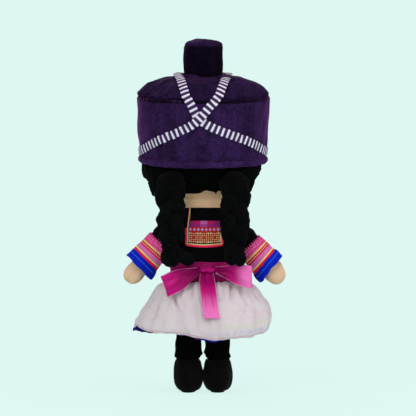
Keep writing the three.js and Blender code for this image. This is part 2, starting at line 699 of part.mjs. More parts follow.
// Sleeves and arms. Each lies along a line that leans out from the shoulder; the rings turn as it goes
// down, because the sleeve flares more on its outer side.
const sleeveRadius = (along) => {
  const share = (along - bandStart) / (sleeveLength - bandStart);
  return THREE.MathUtils.lerp(sleeveTopRadius, sleeveEndRadius, share) - sleeveCloth - fit;
};
function armRings(side, sign, rows, sides, { shift = () => 0, droop = 0 } = {}) {
  const { hang, cuff } = armSides[side];
  const pivot = new THREE.Vector3(sign * shoulderOut, 0, shoulderHeight);
  const heading = (degrees) =>
    new THREE.Vector3(sign * Math.sin(radians(degrees)), 0, -Math.cos(radians(degrees)));
  return rows.map(([along, radius], row) => {
    const turned = hang + (cuff - hang) * THREE.MathUtils.smoothstep(along, 10, sleeveLength);
    const beyond = Math.max(along - sleeveLength, 0);
    const centre = pivot.clone().addScaledVector(heading(hang), along - beyond);
    centre.addScaledVector(heading(hang - droop), beyond);
    const normal = heading(turned);
    const across = heading(turned + 90);
    return oval(centre, across, yAxis, radius, radius * 0.96, sides).map((point, i) =>
      point.addScaledVector(normal, shift(i, row)),
    );
  });
}
const tube = (outer, inner) => solidOf(joinRings([...outer, ...inner.reverse()], true));
const cuffLap = 5; // of the black sleeve under the cuff
const handDroop = 7;
bothSides((side, sign) => {
  const pivot = new THREE.Vector3(sign * shoulderOut, 0, shoulderHeight);
  const shoulderRoom = solidOf(ball(shoulderRadius + jointRoom, pivot, 20));
  piece(`shoulder_${side}`, solidOf(ball(shoulderRadius, pivot)), materials.jacket);

  // Nothing that swings with the arm lies nearer the body than the shoulder's own middle
  const clear = solidOf(
    block(new THREE.Vector3(-wide, -wide, 0), new THREE.Vector3(wide, wide, wide * 3)).translate(
      sign * (shoulderOut + wide),
      0,
      0,
    ),
  );
  const armRows = [
    [2, armRadius * 0.9],
    [20, armRadius * 0.98],
    [sleeveLength - 4, armRadius],
    [sleeveLength + 3, handRadius * 0.94],
    [sleeveLength + 8, handRadius],
    [sleeveLength + 13, handRadius * 0.92],
    [sleeveLength + handReach * 0.88, handRadius * 0.66],
    [sleeveLength + handReach, handRadius * 0.28],
  ];
  const armSolid = solidOf(joinRings(armRings(side, sign, armRows, 14, { droop: handDroop })));
  piece(`arm_${side}`, largest(armSolid.subtract(shoulderRoom).intersect(clear)), materials.linen);

  const sleeveRows = [4, 9, 20, cuffStart + cuffLap].map((along) => [
    along,
    Math.min(sleeveRadius(along), shoulderRadius - 0.3 + Math.max(along - 6, 0) * 0.25),
  ]);
  const armRoomRows = [-2, sleeveLength].map((along) => [along, armRadius + fit]);
  const sleeveSolid = solidOf(joinRings(armRings(side, sign, sleeveRows, 18)))
    .subtract(solidOf(joinRings(armRings(side, sign, armRoomRows, 18))))
    .subtract(shoulderRoom)
    .intersect(clear);
  piece(`sleeve_${side}`, largest(sleeveSolid), materials.jacket);

  const overSleeve = (from, to, extra) => [from, to].map((along) => [along, sleeveRadius(along) + extra]);
  const pinked = (i, row) => (row === 0 ? pinkingDepth * (i % 2 ? 1 : -1) : 0);
  const sides = pinkingTeeth * 2;
  const layer = (from, to, count, shift) =>
    tube(
      armRings(side, sign, overSleeve(from, to, fit + sleeveCloth), count, { shift }),
      armRings(side, sign, overSleeve(from, to, fit), count, { shift }),
    );
  const band = layer(bandStart, cuffStart - fit, sides, pinked).intersect(clear);
  piece(`sleeve_band_${side}`, largest(band), materials.banding);
  piece(`cuff_${side}`, layer(cuffStart, sleeveLength, 24), materials.cuff);
});

// Legs: a hip ball, a straight stuffed leg with a legging on it, and an ankle ball
const legRadius = leggingRadius - jacketCloth - fit;
const legRows = [
  [ankleHeight - ankleRadius * 0.94, ankleRadius * 0.34],
  [ankleHeight - ankleRadius * 0.7, ankleRadius * 0.71],
  [ankleHeight - ankleRadius * 0.35, ankleRadius * 0.94],
  [ankleHeight, ankleRadius],
  [leggingBottom + 6, ankleRadius + 0.2],
  [leggingTop, legRadius - 0.2],
  [hipHeight - hipRadius * 0.5, hipRadius * 0.87],
  [hipHeight, hipRadius],
  [hipHeight + hipRadius * 0.5, hipRadius * 0.87],
  [hipHeight + hipRadius * 0.82, hipRadius * 0.57],
  [hipHeight + hipRadius * 0.98, hipRadius * 0.2],
].map(([z, radius]) => [z, radius, radius]);
const shoeRows = [
  [soleThickness + fit, soleHalfWidth + 0.7, soleHeel + 0.5, soleToe + 0.6],
  [soleThickness + 2.6, shoeHalfWidth - 1.5, shoeHeel - 1.1, shoeToe - 1.8],
  [8.5, shoeHalfWidth, shoeHeel, shoeToe],
  [14.5, shoeHalfWidth, shoeHeel - 0.3, shoeToe - 1.5],
  [20.5, 13.6, shoeHeel - 1.6, shoeToe - 6],
  [26, 13.2, 16.6, 18.6],
  [shoeTop, 12.8, 14.6, 14.6],
];
const footRings = (sign, rows, sides) =>
  rows.map(([z, halfWidth, heel, toe]) => {
    const centre = new THREE.Vector3(sign * legSpacing, legBack + (heel - toe) / 2, z);
    return oval(centre, xAxis, yAxis, halfWidth, (heel + toe) / 2, sides, 2.2);
  });
bothSides((side, sign) => {
  const centre = new THREE.Vector3(sign * legSpacing, legBack, 0);
  piece(`leg_${side}`, solidOf(stuffed(legRows, { centre, sides: 16 })), materials.linen);
  const leggingOutline = [leggingBottom, leggingTop].map((z) => [z, leggingRadius, leggingRadius]);
  const legRoom = solidOf(stuffed(legRows, { centre, extra: fit, sides: 16 }));
  const legging = solidOf(stuffed(leggingOutline, { centre, sides: 20 })).subtract(legRoom);
  piece(`legging_${side}`, legging, materials.jacket);

  const ankleRoom = solidOf(
    ball(ankleRadius + fit, new THREE.Vector3(sign * legSpacing, legBack, ankleHeight), 20),
  );
  const shoe = solidOf(joinRings(footRings(sign, shoeRows, 20))).subtract(ankleRoom);
  piece(`shoe_${side}`, shoe, materials.suede);
  const soleRows = [0, soleThickness].map((z) => [z, soleHalfWidth, soleHeel, soleToe]);
  piece(`sole_${side}`, solidOf(joinRings(footRings(sign, soleRows, 20))), materials.suede);
});

// Skirt: gathered under the sash, ballooned, with soft pleats that deepen towards the hem.
// Each row gives a height, the reach to the left, right and back, and the depth of the pleats.
const skirtRows = [
  [109.8, 35, 35, 26, 0],
  [108, 41, 46, 31, 0.4],
  [104, 49, 53.5, 38, 0.9],
  [97, 54, 59.5, 43.5, 1.3],
  [88, 58.5, 65, skirtHalfDepth - 4, 1.4],
  [77, 63.5, 67.8, skirtHalfDepth - 1, 1.5],
  [67, skirtHalfWidth, 68, skirtHalfDepth, 1.6],
  [skirtHem + 2, 65.5, 66, skirtHalfDepth - 0.6, 1.5],
  [skirtHem, 63.4, 64, skirtHalfDepth - 2, 1.3],
];
const skirtSides = 36;
const pleat = (turn) => 0.65 * Math.cos(skirtPleats * turn + 0.6) + 0.35 * Math.cos(5 * turn + 1.1);
const skirtRings = (rows, inset) =>
  rows.map(([z, left, right, deep, depth]) =>
    Array.from({ length: skirtSides }, (_, i) => {
      const turn = round(i / skirtSides);
      const [c, s] = [Math.cos(turn), Math.sin(turn)];
      const swell = depth * pleat(turn) - inset;
      return new THREE.Vector3(((c > 0 ? left : right) + swell) * c, (deep + swell) * s, z);
    }),
  );
const skirtLining = skirtRows.filter((row, i) => i % 2 === 0 || i === skirtRows.length - 2);
piece("skirt", tube(skirtRings(skirtRows, 0), skirtRings(skirtLining, skirtCloth)), materials.cotton);

// Underskirt: a coloured strip inside the hem that shows below it
const underOut = skirtCloth + fit;
const underHem = skirtHem - hemDrop;
const underRows = [
  [skirtHem + 12, ...skirtRows.at(-1).slice(1)],
  [skirtHem, ...skirtRows.at(-1).slice(1)],
  [underHem, ...skirtRows.at(-1).slice(1)],
];
const underskirt = tube(skirtRings(underRows, underOut), skirtRings(underRows, underOut + trimCloth));
piece("underskirt", underskirt, materials.underskirt);

// Bow on the back of the sash: a knot, two loops of ribbon and one hanging tail
const bowBack = torsoHalfDepth + jacketOuter + ribbonCloth + 2 * fit;
const knotDepth = 7;
const knotMiddle = new THREE.Vector3(bowKnotOut, bowBack + knotDepth / 2, bowKnotHeight);
const knotRings = [-1, -0.6, 0.6, 1].map((share) => {
  const size = Math.abs(share) === 1 ? 0.62 : 1;
  const centre = knotMiddle.clone().addScaledVector(xAxis, bowKnotHalfWidth * share);
  const up = new THREE.Vector3(0, 0, 1);
  return oval(centre, yAxis, up, (knotDepth / 2) * size, bowKnotHalfHeight * size, 12, 2.6);
});
piece("bow_knot", solidOf(joinRings(knotRings)), materials.ribbon);
const loopSteps = 20;
bothSides((side, sign) => {
  const [droop, swing] = [radians(bowDroop[side]), radians(bowSwing[side])];
  const outward = new THREE.Vector3(
    sign * Math.cos(droop) * Math.cos(swing),
    Math.cos(droop) * Math.sin(swing),
    -Math.sin(droop),
  );
  const up = new THREE.Vector3(sign * Math.sin(droop * 0.55), 0, Math.cos(droop * 0.55));
  const thick = new THREE.Vector3().crossVectors(up, outward).normalize();
  const foot = knotMiddle.clone().addScaledVector(xAxis, sign * (bowKnotHalfWidth + fit));
  const rings = Array.from({ length: loopSteps }, (_, i) => {
    const turn = round(i / loopSteps);
    const out = (1 - Math.cos(turn)) / 2;
    const at = (inset) => {
      const gap = (bowLoopGap - inset) * Math.sin(turn) * (0.35 + 0.65 * out);
      const reach = bowLoopRoot + inset + (bowLoopLength - 2 * inset) * out;
      return foot.clone().addScaledVector(outward, reach).addScaledVector(thick, gap);
    };
    const fan = THREE.MathUtils.smoothstep(out, 0, 0.45);
    const halfWidth = THREE.MathUtils.lerp(bowKnotHalfHeight, sashWidth / 2, fan);
    const [outer, inner] = [at(0), at(ribbonCloth)];
    return [
      outer.clone().addScaledVector(up, -halfWidth),
      outer.clone().addScaledVector(up, halfWidth),
      inner.clone().addScaledVector(up, halfWidth),
      inner.clone().addScaledVector(up, -halfWidth),
    ];
  });
  piece(`bow_loop_${side}`, solidOf(joinRings(rings, true)), materials.ribbon);
});
const tailRows = [
  [118.5, 28.2, -3.7],
  [111, 33.5, -4.2],
  [104, 42, -5],
  [96, 47.8, -6],
  [86, 51.6, -7.2],
  [tailBottom, 54.6, -9],
];
const tailRings = tailRows.map(([z, back, out], i) => {
  const [before, after] = [tailRows[Math.max(i - 1, 0)], tailRows[Math.min(i + 1, tailRows.length - 1)]];
  const normal = new THREE.Vector3(0, before[0] - after[0], after[1] - before[1]).normalize();
  const half = tailHalfWidth * (i ? 1 : 0.75);
  return [[-1, 0], [1, 0], [1, 1], [-1, 1]].map(([side, layer]) =>
    new THREE.Vector3(out + side * half, back, z).addScaledVector(normal, layer * ribbonCloth),
  );
});
piece("bow_tail", solidOf(joinRings(tailRings)), materials.ribbon);

// The origin is moved under the middle of the outline
const outline = new THREE.Box3().setFromObject(doll);
doll.position.set(-(outline.min.x + outline.max.x) / 2, -(outline.min.y + outline.max.y) / 2, 0);

export default doll;
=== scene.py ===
"""A plush doll in festival dress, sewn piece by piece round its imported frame.

Shapes are worked out in millimetres from the middle of the doll's stance, with +Z up, the doll facing
-Y and its left at +X. `sew` turns them into the frame's metres.
"""

import math

import bmesh
import bpy
import numpy as np
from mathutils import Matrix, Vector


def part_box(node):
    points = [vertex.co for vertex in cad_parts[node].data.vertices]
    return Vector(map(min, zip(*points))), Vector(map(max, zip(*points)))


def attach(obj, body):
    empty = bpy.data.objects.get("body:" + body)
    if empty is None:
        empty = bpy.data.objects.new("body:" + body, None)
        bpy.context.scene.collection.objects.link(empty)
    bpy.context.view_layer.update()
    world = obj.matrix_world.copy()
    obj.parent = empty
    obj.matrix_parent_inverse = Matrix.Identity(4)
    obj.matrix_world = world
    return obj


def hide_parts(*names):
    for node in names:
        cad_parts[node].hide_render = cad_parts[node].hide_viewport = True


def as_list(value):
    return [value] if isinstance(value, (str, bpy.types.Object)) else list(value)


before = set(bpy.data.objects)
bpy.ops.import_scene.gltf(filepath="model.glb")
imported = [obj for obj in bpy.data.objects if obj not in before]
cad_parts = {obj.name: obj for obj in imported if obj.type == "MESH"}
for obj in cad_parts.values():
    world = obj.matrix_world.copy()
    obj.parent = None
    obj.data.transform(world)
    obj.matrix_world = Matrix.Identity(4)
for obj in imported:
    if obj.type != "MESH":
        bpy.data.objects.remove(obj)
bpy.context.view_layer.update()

bl_info = {
    "name": "Plush Festival Doll",
    "version": (1, 0, 0),
    "blender": (4, 5, 0),
    "location": "View3D > Sidebar > Doll",
    "description": "Sews a stuffed doll in a velvet hat, banded jacket and gathered skirt",
    "category": "Object",
}

MM = 0.001
TAU = 2 * math.pi
X_AXIS, Y_AXIS, Z_AXIS = np.eye(3)
SIDES = {"left": 1, "right": -1}
SOLE_HEEL = 23.5  # from the middle of the doll back to the heel of the sole
LEFT_SOLE, RIGHT_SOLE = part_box("sole_left"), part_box("sole_right")
STANCE = np.array([(LEFT_SOLE[0].x + RIGHT_SOLE[1].x) / 2, LEFT_SOLE[1].y - SOLE_HEEL * MM, 0])


def srgb(red, green, blue):
    """A screen colour from 0 to 255 as Blender's linear RGBA."""
    share = np.array([red, green, blue]) / 255
    linear = np.where(share <= 0.04045, share / 12.92, ((share + 0.055) / 1.055) ** 2.4)
    return (*linear.tolist(), 1.0)


def darker(colour, share):
    """The colour with its red, green and blue times the share."""
    return (*[part * share for part in colour[:3]], 1.0)


def chosen(group):
    """The user's settings of one group."""
    return getattr(bpy.context.scene, f"doll_{group}")


# Numbers and curves


def ease(value, low, high):
    """0 below low, 1 above high, and a smooth S between them."""
    share = np.clip((np.asarray(value, float) - low) / (high - low), 0, 1)
    return share * share * (3 - 2 * share)


def hump(value, middle, half):
    """1 at the middle, falling to 0 on both sides as a bell: e^-((value - middle) / half)^2."""
    return np.exp(-(((value - middle) / half) ** 2))


def blend(a, b, share):
    """a where the share is 0, b where it is 1, and in a straight line between them."""
    return a + (b - a) * share


def through(rows, count):
    """A smooth curve through rows of numbers (Catmull-Rom), read at even steps."""
    rows = np.asarray(rows, float)
    at = np.linspace(0, len(rows) - 1, count)
    first = np.clip(at.astype(int), 0, len(rows) - 2)
    f = (at - first)[:, None]
    a, b, c, d = (rows[np.clip(first + k, 0, len(rows) - 1)] for k in (-1, 0, 1, 2))
    return 0.5 * (2 * b + (c - a) * f + (2 * a - 5 * b + 4 * c - d) * f**2 + (3 * b - a - 3 * c + d) * f**3)


def between(rows, at):
    """The columns of rows after the first, read where the first column has the values `at`."""
    rows = np.asarray(sorted(rows), float)
    return [np.interp(at, rows[:, 0], rows[:, k]) for k in range(1, rows.shape[1])]


def ripples(points, size, seed, waves=9):
    """Soft unevenness between about -1 and 1: a sum of sines about `size` mm long, of seeded directions."""
    chance = np.random.default_rng(seed)
    directions = chance.normal(size=(waves, 3))
    directions /= np.linalg.norm(directions, axis=1, keepdims=True)
    rates = directions * (TAU / size * chance.uniform(0.6, 1.5, (waves, 1)))
    return np.sin(points @ rates.T + chance.uniform(0, TAU, waves)).sum(-1) / (0.8 * waves**0.5)


def angles(count):
    """Even steps of one turn, in radians from 0."""
    return TAU * np.arange(count) / count


def unit(vectors):
    """Each vector divided by its length."""
    return vectors / np.linalg.norm(vectors, axis=-1, keepdims=True)


def rings(centres, across, deep, half_width, half_depth, sides, squareness=2.0):
    """Ovals on a line of centres: centre + across·w·cos^p + deep·d·sin^p, where p is 2 / squareness."""
    turn = angles(sides)
    c, s = (np.sign(v) * np.abs(v) ** (2 / squareness) for v in (np.cos(turn), np.sin(turn)))
    centres = np.asarray(centres, float)
    count = len(centres)
    width, depth = (np.broadcast_to(v, count)[:, None, None] for v in (half_width, half_depth))
    across, deep = (np.broadcast_to(v, (count, 3))[:, None, :] for v in (across, deep))
    return centres[:, None] + width * c[:, None] * across + depth * s[:, None] * deep


def stuffed(rows, centre, count, sides, squareness=2.0):
    """An upright form: smooth rows of height, half width and half depth, each an oval round the centre."""
    z, width, depth = through(rows, count).T
    middle = np.zeros((count, 3)) + centre
    middle[:, 2] = z
    return rings(middle, X_AXIS, Y_AXIS, np.maximum(width, 0.05), np.maximum(depth, 0.05), sides, squareness)


def ball(centre, radii, count=24, sides=40):
    """A sphere stretched by three radii: rings from the lower pole to the upper."""
    rise = np.linspace(-0.985, 0.985, count) * math.pi / 2
    middle = np.asarray(centre, float) + np.outer(np.sin(rise) * radii[2], Z_AXIS)
    return rings(middle, X_AXIS, Y_AXIS, np.cos(rise) * radii[0], np.cos(rise) * radii[1], sides)


def normals(grid, ring=False):
    """Unit normals of a grid: the cross product of its steps along columns and rows."""
    padded = np.concatenate([grid[:, -1:], grid, grid[:, :1]], 1) if ring else grid
    along = np.gradient(padded, axis=1)
    along = along[:, 1:-1] if ring else along
    made = np.cross(along, np.gradient(grid, axis=0))
    return made / np.maximum(np.linalg.norm(made, axis=-1, keepdims=True), 1e-9)


def outward(grid, ring, inside):
    """The grid's normals, turned to point away from `inside`."""
    made = normals(grid, ring)
    return made * np.sign(((grid - inside) * made).sum() or 1)


def swollen(grid, amount, inside=None):
    """A ring's grid, moved along its outward normals."""
    inside = grid.mean((0, 1)) if inside is None else inside
    return grid + outward(grid, True, inside) * np.asarray(amount)[..., None]


# Meshes

FORMS = {  # how a grid closes: columns joined, rows joined, ends capped by a fan
    "patch": (False, False, False),
    "tube": (True, False, False),
    "belt": (False, True, False),
    "torus": (True, True, False),
    "ball": (True, False, True),
}


def lengths(grid, form="patch"):
    """How far each column lies along the cloth and each row across it, in mm, as mean distances."""
    ring, loop, _ = FORMS[form]
    across = np.concatenate([grid, grid[:, :1]], 1) if ring else grid
    along = np.concatenate([grid, grid[:1]], 0) if loop else grid
    u = np.linalg.norm(np.diff(across, axis=1), axis=-1).mean(0)
    v = np.linalg.norm(np.diff(along, axis=0), axis=-1).mean(1)
    return np.concatenate([[0], np.cumsum(u)]), np.concatenate([[0], np.cumsum(v)])


def spread_uv(u, v):
    """A UV map from the places of the columns and the rows, in mm. The map is in cm."""
    v = v[:, None] if np.ndim(v) == 1 else v
    return np.stack(np.broadcast_arrays(u[None] if np.ndim(u) == 1 else u, v), -1) / 10


def sew(name, grid, form="patch", uv=None, inside=None):
    """A mesh from rows of points, closed as its form says. Its faces point away from `inside`."""
    ring, loop, capped = FORMS[form]
    rows, columns = grid.shape[:2]
    uv = spread_uv(*lengths(grid, form)) if uv is None else uv
    r, c = np.meshgrid(np.arange(rows - (not loop)), np.arange(columns - (not ring)), indexing="ij")
    r, c = r.ravel(), c.ravel()
    r1, c1 = (r + 1) % rows, (c + 1) % columns
    faces = [np.stack([r * columns + c, r * columns + c1, r1 * columns + c1, r1 * columns + c], 1)]
    maps = [np.stack([uv[r, c], uv[r, c + 1], uv[r + 1, c + 1], uv[r + 1, c]], 1)]
    points = [grid.reshape(-1, 3)]
    for row in (0, rows - 1) if capped else ():
        pole = rows * columns + len(points) - 1
        points.append(grid[row].mean(0)[None])
        c = np.arange(columns)
        pair = np.stack([row * columns + c, row * columns + (c + 1) % columns], 1)
        edge = np.stack([uv[row, c], uv[row, c + 1]], 1)
        if row == 0:
            pair, edge = pair[:, ::-1], edge[:, ::-1]
        faces.append(np.column_stack([np.full(columns, pole), pair]))
        maps.append(np.concatenate([edge.mean(1, keepdims=True), edge], 1))
    points = np.concatenate(points)
    inside = points.mean(0) if inside is None else np.asarray(inside, float)
    quad = points[faces[0]]
    facing = np.cross(quad[:, 2] - quad[:, 0], quad[:, 3] - quad[:, 1])
    if ((quad.mean(1) - inside) * facing).sum() < 0:
        faces, maps = [f[:, ::-1] for f in faces], [m[:, ::-1] for m in maps]
    sizes = np.concatenate([np.full(len(f), f.shape[1]) for f in faces])
    mesh = bpy.data.meshes.new(name)
    mesh.vertices.add(len(points))
    mesh.vertices.foreach_set("co", (points * MM + STANCE).ravel())
    mesh.loops.add(int(sizes.sum()))
    mesh.loops.foreach_set("vertex_index", np.concatenate([f.ravel() for f in faces]).astype(np.int32))
    mesh.polygons.add(len(sizes))
    mesh.polygons.foreach_set("loop_start", np.concatenate([[0], np.cumsum(sizes)[:-1]]).astype(np.int32))
    layer = mesh.uv_layers.new(name="Cloth")
    layer.uv.foreach_set("vector", np.concatenate([m.reshape(-1, 2) for m in maps]).ravel())
    mesh.update(calc_edges=True)
    mesh.validate()
    mesh.shade_smooth()
    made = bpy.data.objects.new(name, mesh)
    bpy.context.scene.collection.objects.link(made)
    return made


def mend(made, weld=False):
    """Welds the points of a piece that meet, or turns the faces of a closed piece outwards."""
    edit = bmesh.new()
    edit.from_mesh(made.data)
    if weld:
        bmesh.ops.remove_doubles(edit, verts=edit.verts, dist=1e-6)
    else:
        bmesh.ops.recalc_face_normals(edit, faces=edit.faces)
    edit.to_mesh(made.data)
    edit.free()


def wear(made, name, body, finish, wall=0.0):
    """Gives a piece its material, its cloth's thickness in mm, its body, and the CAD node of its name to
    stand for. `tight`, which a piece is given, is not used."""
    made.data.materials.append(finish)
    if wall:
        cloth = made.modifiers.new("Cloth", "SOLIDIFY")
        cloth.thickness, cloth.offset, cloth.use_even_offset = wall * MM, -1, False
    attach(made, body)
    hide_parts(name)


def piece(name, grid, form, body, slot, finish, wall=0.0, tight=0.0, mended=False, **sewn):
    """Sews a grid and lets it wear what it needs."""
    made = sew(name, grid, form, **sewn)
    if mended:
        mend(made)
    wear(made, name, body, finish, wall)
    return made


def lay(grid, held, rests_on, form="patch"):
    """Works out a sheet's flat lengths from the grid that it was made from, and keeps nothing."""
    u, v = lengths(grid, form)
    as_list(rests_on)


def sheet(name, grid, form, body, slot, finish, wall, held, rests_on, **sewn):
    made = piece(name, grid, form, body, slot, finish, wall, **sewn)
    lay(grid, held, rests_on, form)
    return made


def fill(made, pressure, growth, cap, frames=14, held=None):
    """Stuffs a closed piece: Blender's cloth under inner pressure, with `growth` more cloth than the
    form needs, so that it puckers. No point ends more than `cap` mm from where it began, and the points
    for which `held` is true stay."""
    start = np.empty(len(made.data.vertices) * 3)
    made.data.vertices.foreach_get("co", start)
    start = start.reshape(-1, 3)
    cloth = made.modifiers.new("Stuffing", "CLOTH")
    settings = cloth.settings
    settings.quality = 6
    settings.mass = 0.15
    settings.tension_stiffness = settings.compression_stiffness = settings.shear_stiffness = 12
    settings.bending_stiffness = 0.4
    settings.use_pressure = True
    settings.uniform_pressure_force = pressure
    settings.shrink_min = -growth
    settings.effector_weights.gravity = 0
    if held is not None:
        group = made.vertex_groups.new(name="Seam")
        group.add(np.flatnonzero(held).tolist(), 1.0, "REPLACE")
        settings.vertex_group_mass = group.name
        settings.pin_stiffness = 5
    scene = bpy.context.scene
    for number in range(1, frames + 1):
        scene.frame_set(number)
    shaped = made.evaluated_get(bpy.context.evaluated_depsgraph_get()).to_mesh()
    ended = np.empty(len(start) * 3)
    shaped.vertices.foreach_get("co", ended)
    moved = ended.reshape(-1, 3) - start
    far = np.linalg.norm(moved, axis=1, keepdims=True)
    moved *= np.minimum(1, cap * MM / np.maximum(far, 1e-9))
    made.modifiers.remove(cloth)
    made.vertex_groups.clear()
    made.data.vertices.foreach_set("co", (start + moved).ravel())
    made.data.update()
    scene.frame_set(1)


# Finishes: short calls for a node tree, the effects that several fabrics share, and the fabrics


def operation(name, swapped=False):
    """A Math node of that name, as a method of Value."""
    if swapped:
        return lambda value, other: value.graph.math(name, other, value)
    return lambda value, other: value.graph.math(name, value, other)


class Value:
    """A node's output. Arithmetic on it adds Math nodes."""

    def __init__(self, graph, socket):
        self.graph, self.socket = graph, socket

    __add__ = operation("ADD")
    __sub__ = operation("SUBTRACT")
    __rsub__ = operation("SUBTRACT", swapped=True)
    __mul__ = operation("MULTIPLY")
    __truediv__ = operation("DIVIDE")
    __rtruediv__ = operation("DIVIDE", swapped=True)

    def __abs__(self):
        return self.graph.math("ABSOLUTE", self)


class Graph:
    """A node tree. Each input may be a number, a vector, a colour or a Value."""

    def __init__(self, tree):
        self.tree = tree

    def feed(self, socket, value):
        if isinstance(value, Value):
            self.tree.links.new(value.socket, socket)
        else:
            socket.default_value = value

    def add(self, kind, inputs=(), **settings):
        node = self.tree.nodes.new(kind)
        for key, value in settings.items():
            setattr(node, key, value)
        for key, value in dict(inputs).items():
            self.feed(node.inputs[key], value)
        return node

    def value(self, kind, inputs=(), output=0, **settings):
        return Value(self, self.add(kind, inputs, **settings).outputs[output])

    def math(self, name, *values):
        return self.value("ShaderNodeMath", enumerate(values), operation=name)

    def mix(self, share, a, b):
        return self.value("ShaderNodeMix", {0: share, 6: a, 7: b}, 2, data_type="RGBA")

    def scale(self, vector, factors):
        return self.value("ShaderNodeMapping", {"Vector": vector, "Scale": factors})

    def noise(self, vector, size, detail=2.0):
        """Noise about `size` long, in the units of the vector."""
        inputs = {"Vector": vector, "Scale": 1.0 / size, "Detail": detail}
        return self.value("ShaderNodeTexNoise", inputs, "Fac")

    def step(self, value, low, high):
        """0 below low and 1 above high, with a smooth S between them."""
        inputs = {"Value": value, "From Min": low, "From Max": high}
        return self.value("ShaderNodeMapRange", inputs, interpolation_type="SMOOTHSTEP")

    def stripe(self, value, low, high, soft):
        """1 between low and high, fading to 0 over `soft` on both sides."""
        return self.step(value, low - soft, low + soft) - self.step(value, high - soft, high + soft)

    def saw(self, value, pitch):
        """How far a value lies from the middle of its repeat, from -0.5 to 0.5."""
        return self.math("FRACT", value / pitch) - 0.5

    def away(self, value, pitch):
        """The distance from the middle of the repeat, from 0 to 0.5."""
        return abs(self.saw(value, pitch))

    def here(self):
        return self.value("ShaderNodeTexCoord", (), "Object")

    def cloth(self):
        return self.value("ShaderNodeUVMap", uv_map="Cloth")

    def split(self, vector):
        return [Value(self, out) for out in self.add("ShaderNodeSeparateXYZ", {"Vector": vector}).outputs[:2]]

    def effect(self, build, **inputs):
        node = self.add("ShaderNodeGroup", inputs, node_tree=build())
        return {out.name: Value(self, out) for out in node.outputs}


def effect_group(name, inputs, outputs, build):
    """A node group with named inputs and outputs, made at its first use and found again after it. An
    input without a default is a vector."""
    group = bpy.data.node_groups.get(name)
    if group:
        return group
    group = bpy.data.node_groups.new(name, "ShaderNodeTree")
    for label, default in inputs.items():
        kind = "NodeSocketVector" if default is None else "NodeSocketFloat"
        socket = group.interface.new_socket(label, in_out="INPUT", socket_type=kind)
        if default is not None:
            socket.default_value = default
    for label in outputs:
        group.interface.new_socket(label, in_out="OUTPUT", socket_type="NodeSocketFloat")
    graph = Graph(group)
    given = graph.add("NodeGroupInput").outputs
    made = build(graph, *[Value(graph, given[label]) for label in inputs])
    graph.add("NodeGroupOutput", dict(zip(outputs, made)))
    return group


def patches():
    """Broad, soft patches of lighter and darker cloth."""

    def build(graph, vector, size):
        return [graph.step(graph.noise(vector, size, 3.0), 0.36, 0.64)]

    return effect_group("Patches", {"Vector": None, "Size": 0.02}, ["Shade"], build)


def pile():
    """Short upright fibres: fine specks for the tips, gathered in little tufts."""

    def build(graph, vector, size):
        height = graph.noise(vector, size, 1.0) * 0.6 + graph.noise(vector, size * 4.5, 2.0) * 0.6
        return [graph.step(height, 0.4, 0.8), height]

    return effect_group("Pile", {"Vector": None, "Size": 0.0008}, ["Tips", "Height"], build)


def weave():
    """Plain weave on the cloth's own map: threads both ways, each over one and under the next, with
    slubs that make some threads lighter."""

    def build(graph, vector, threads):
        pitch = 1.0 / threads
        u, v = graph.split(vector)
        ridges = [1.0 - graph.away(t, pitch) * 2 for t in (u, v)]
        rows = graph.math("FLOOR", u / pitch) + graph.math("FLOOR", v / pitch)
        over = graph.math("FLOORED_MODULO", rows, 2.0)
        height = ridges[0] * over + ridges[1] * (1.0 - over)
        ways = ((1, 0.06, 1), (0.06, 1, 1))
        slubs = [graph.noise(graph.scale(vector, way), pitch * 1.3, 2.0) for way in ways]
        return [(slubs[0] + slubs[1]) * 0.5, height]

    return effect_group("Weave", {"Vector": None, "Threads": 12.0}, ["Slubs", "Height"], build)


def stitch_row():
    """A row of stitches: dashes of a pitch along a line, as wide as the thread."""

    def build(graph, along, across, pitch, width):
        dash = graph.step(graph.away(along, pitch), 0.4, 0.28)
        return [dash * graph.step(abs(across), width, width * 0.5)]

    inputs = {"Along": 0.0, "Across": 0.0, "Pitch": 0.3, "Width": 0.05}
    return effect_group("Stitch Row", inputs, ["Mask"], build)


def fabric(name, paint, relief=0.3, **plain):
    """A material. `plain` are values of its shader, and `paint` works out its colour and its height,
    which goes through a bump that is `relief` mm high."""
    found = bpy.data.materials.get(name)
    if found:
        return found
    material = bpy.data.materials.new(name)
    material.use_nodes = True
    shader = material.node_tree.nodes["Principled BSDF"]
    for key, value in plain.items():
        shader.inputs[key.replace("_", " ")].default_value = value
    graph = Graph(material.node_tree)
    colour, height = paint(graph)
    bump = graph.value("ShaderNodeBump", {"Height": height, "Strength": 1.0, "Distance": relief * MM})
    graph.feed(shader.inputs["Base Color"], colour)
    graph.feed(shader.inputs["Normal"], bump)
    return material


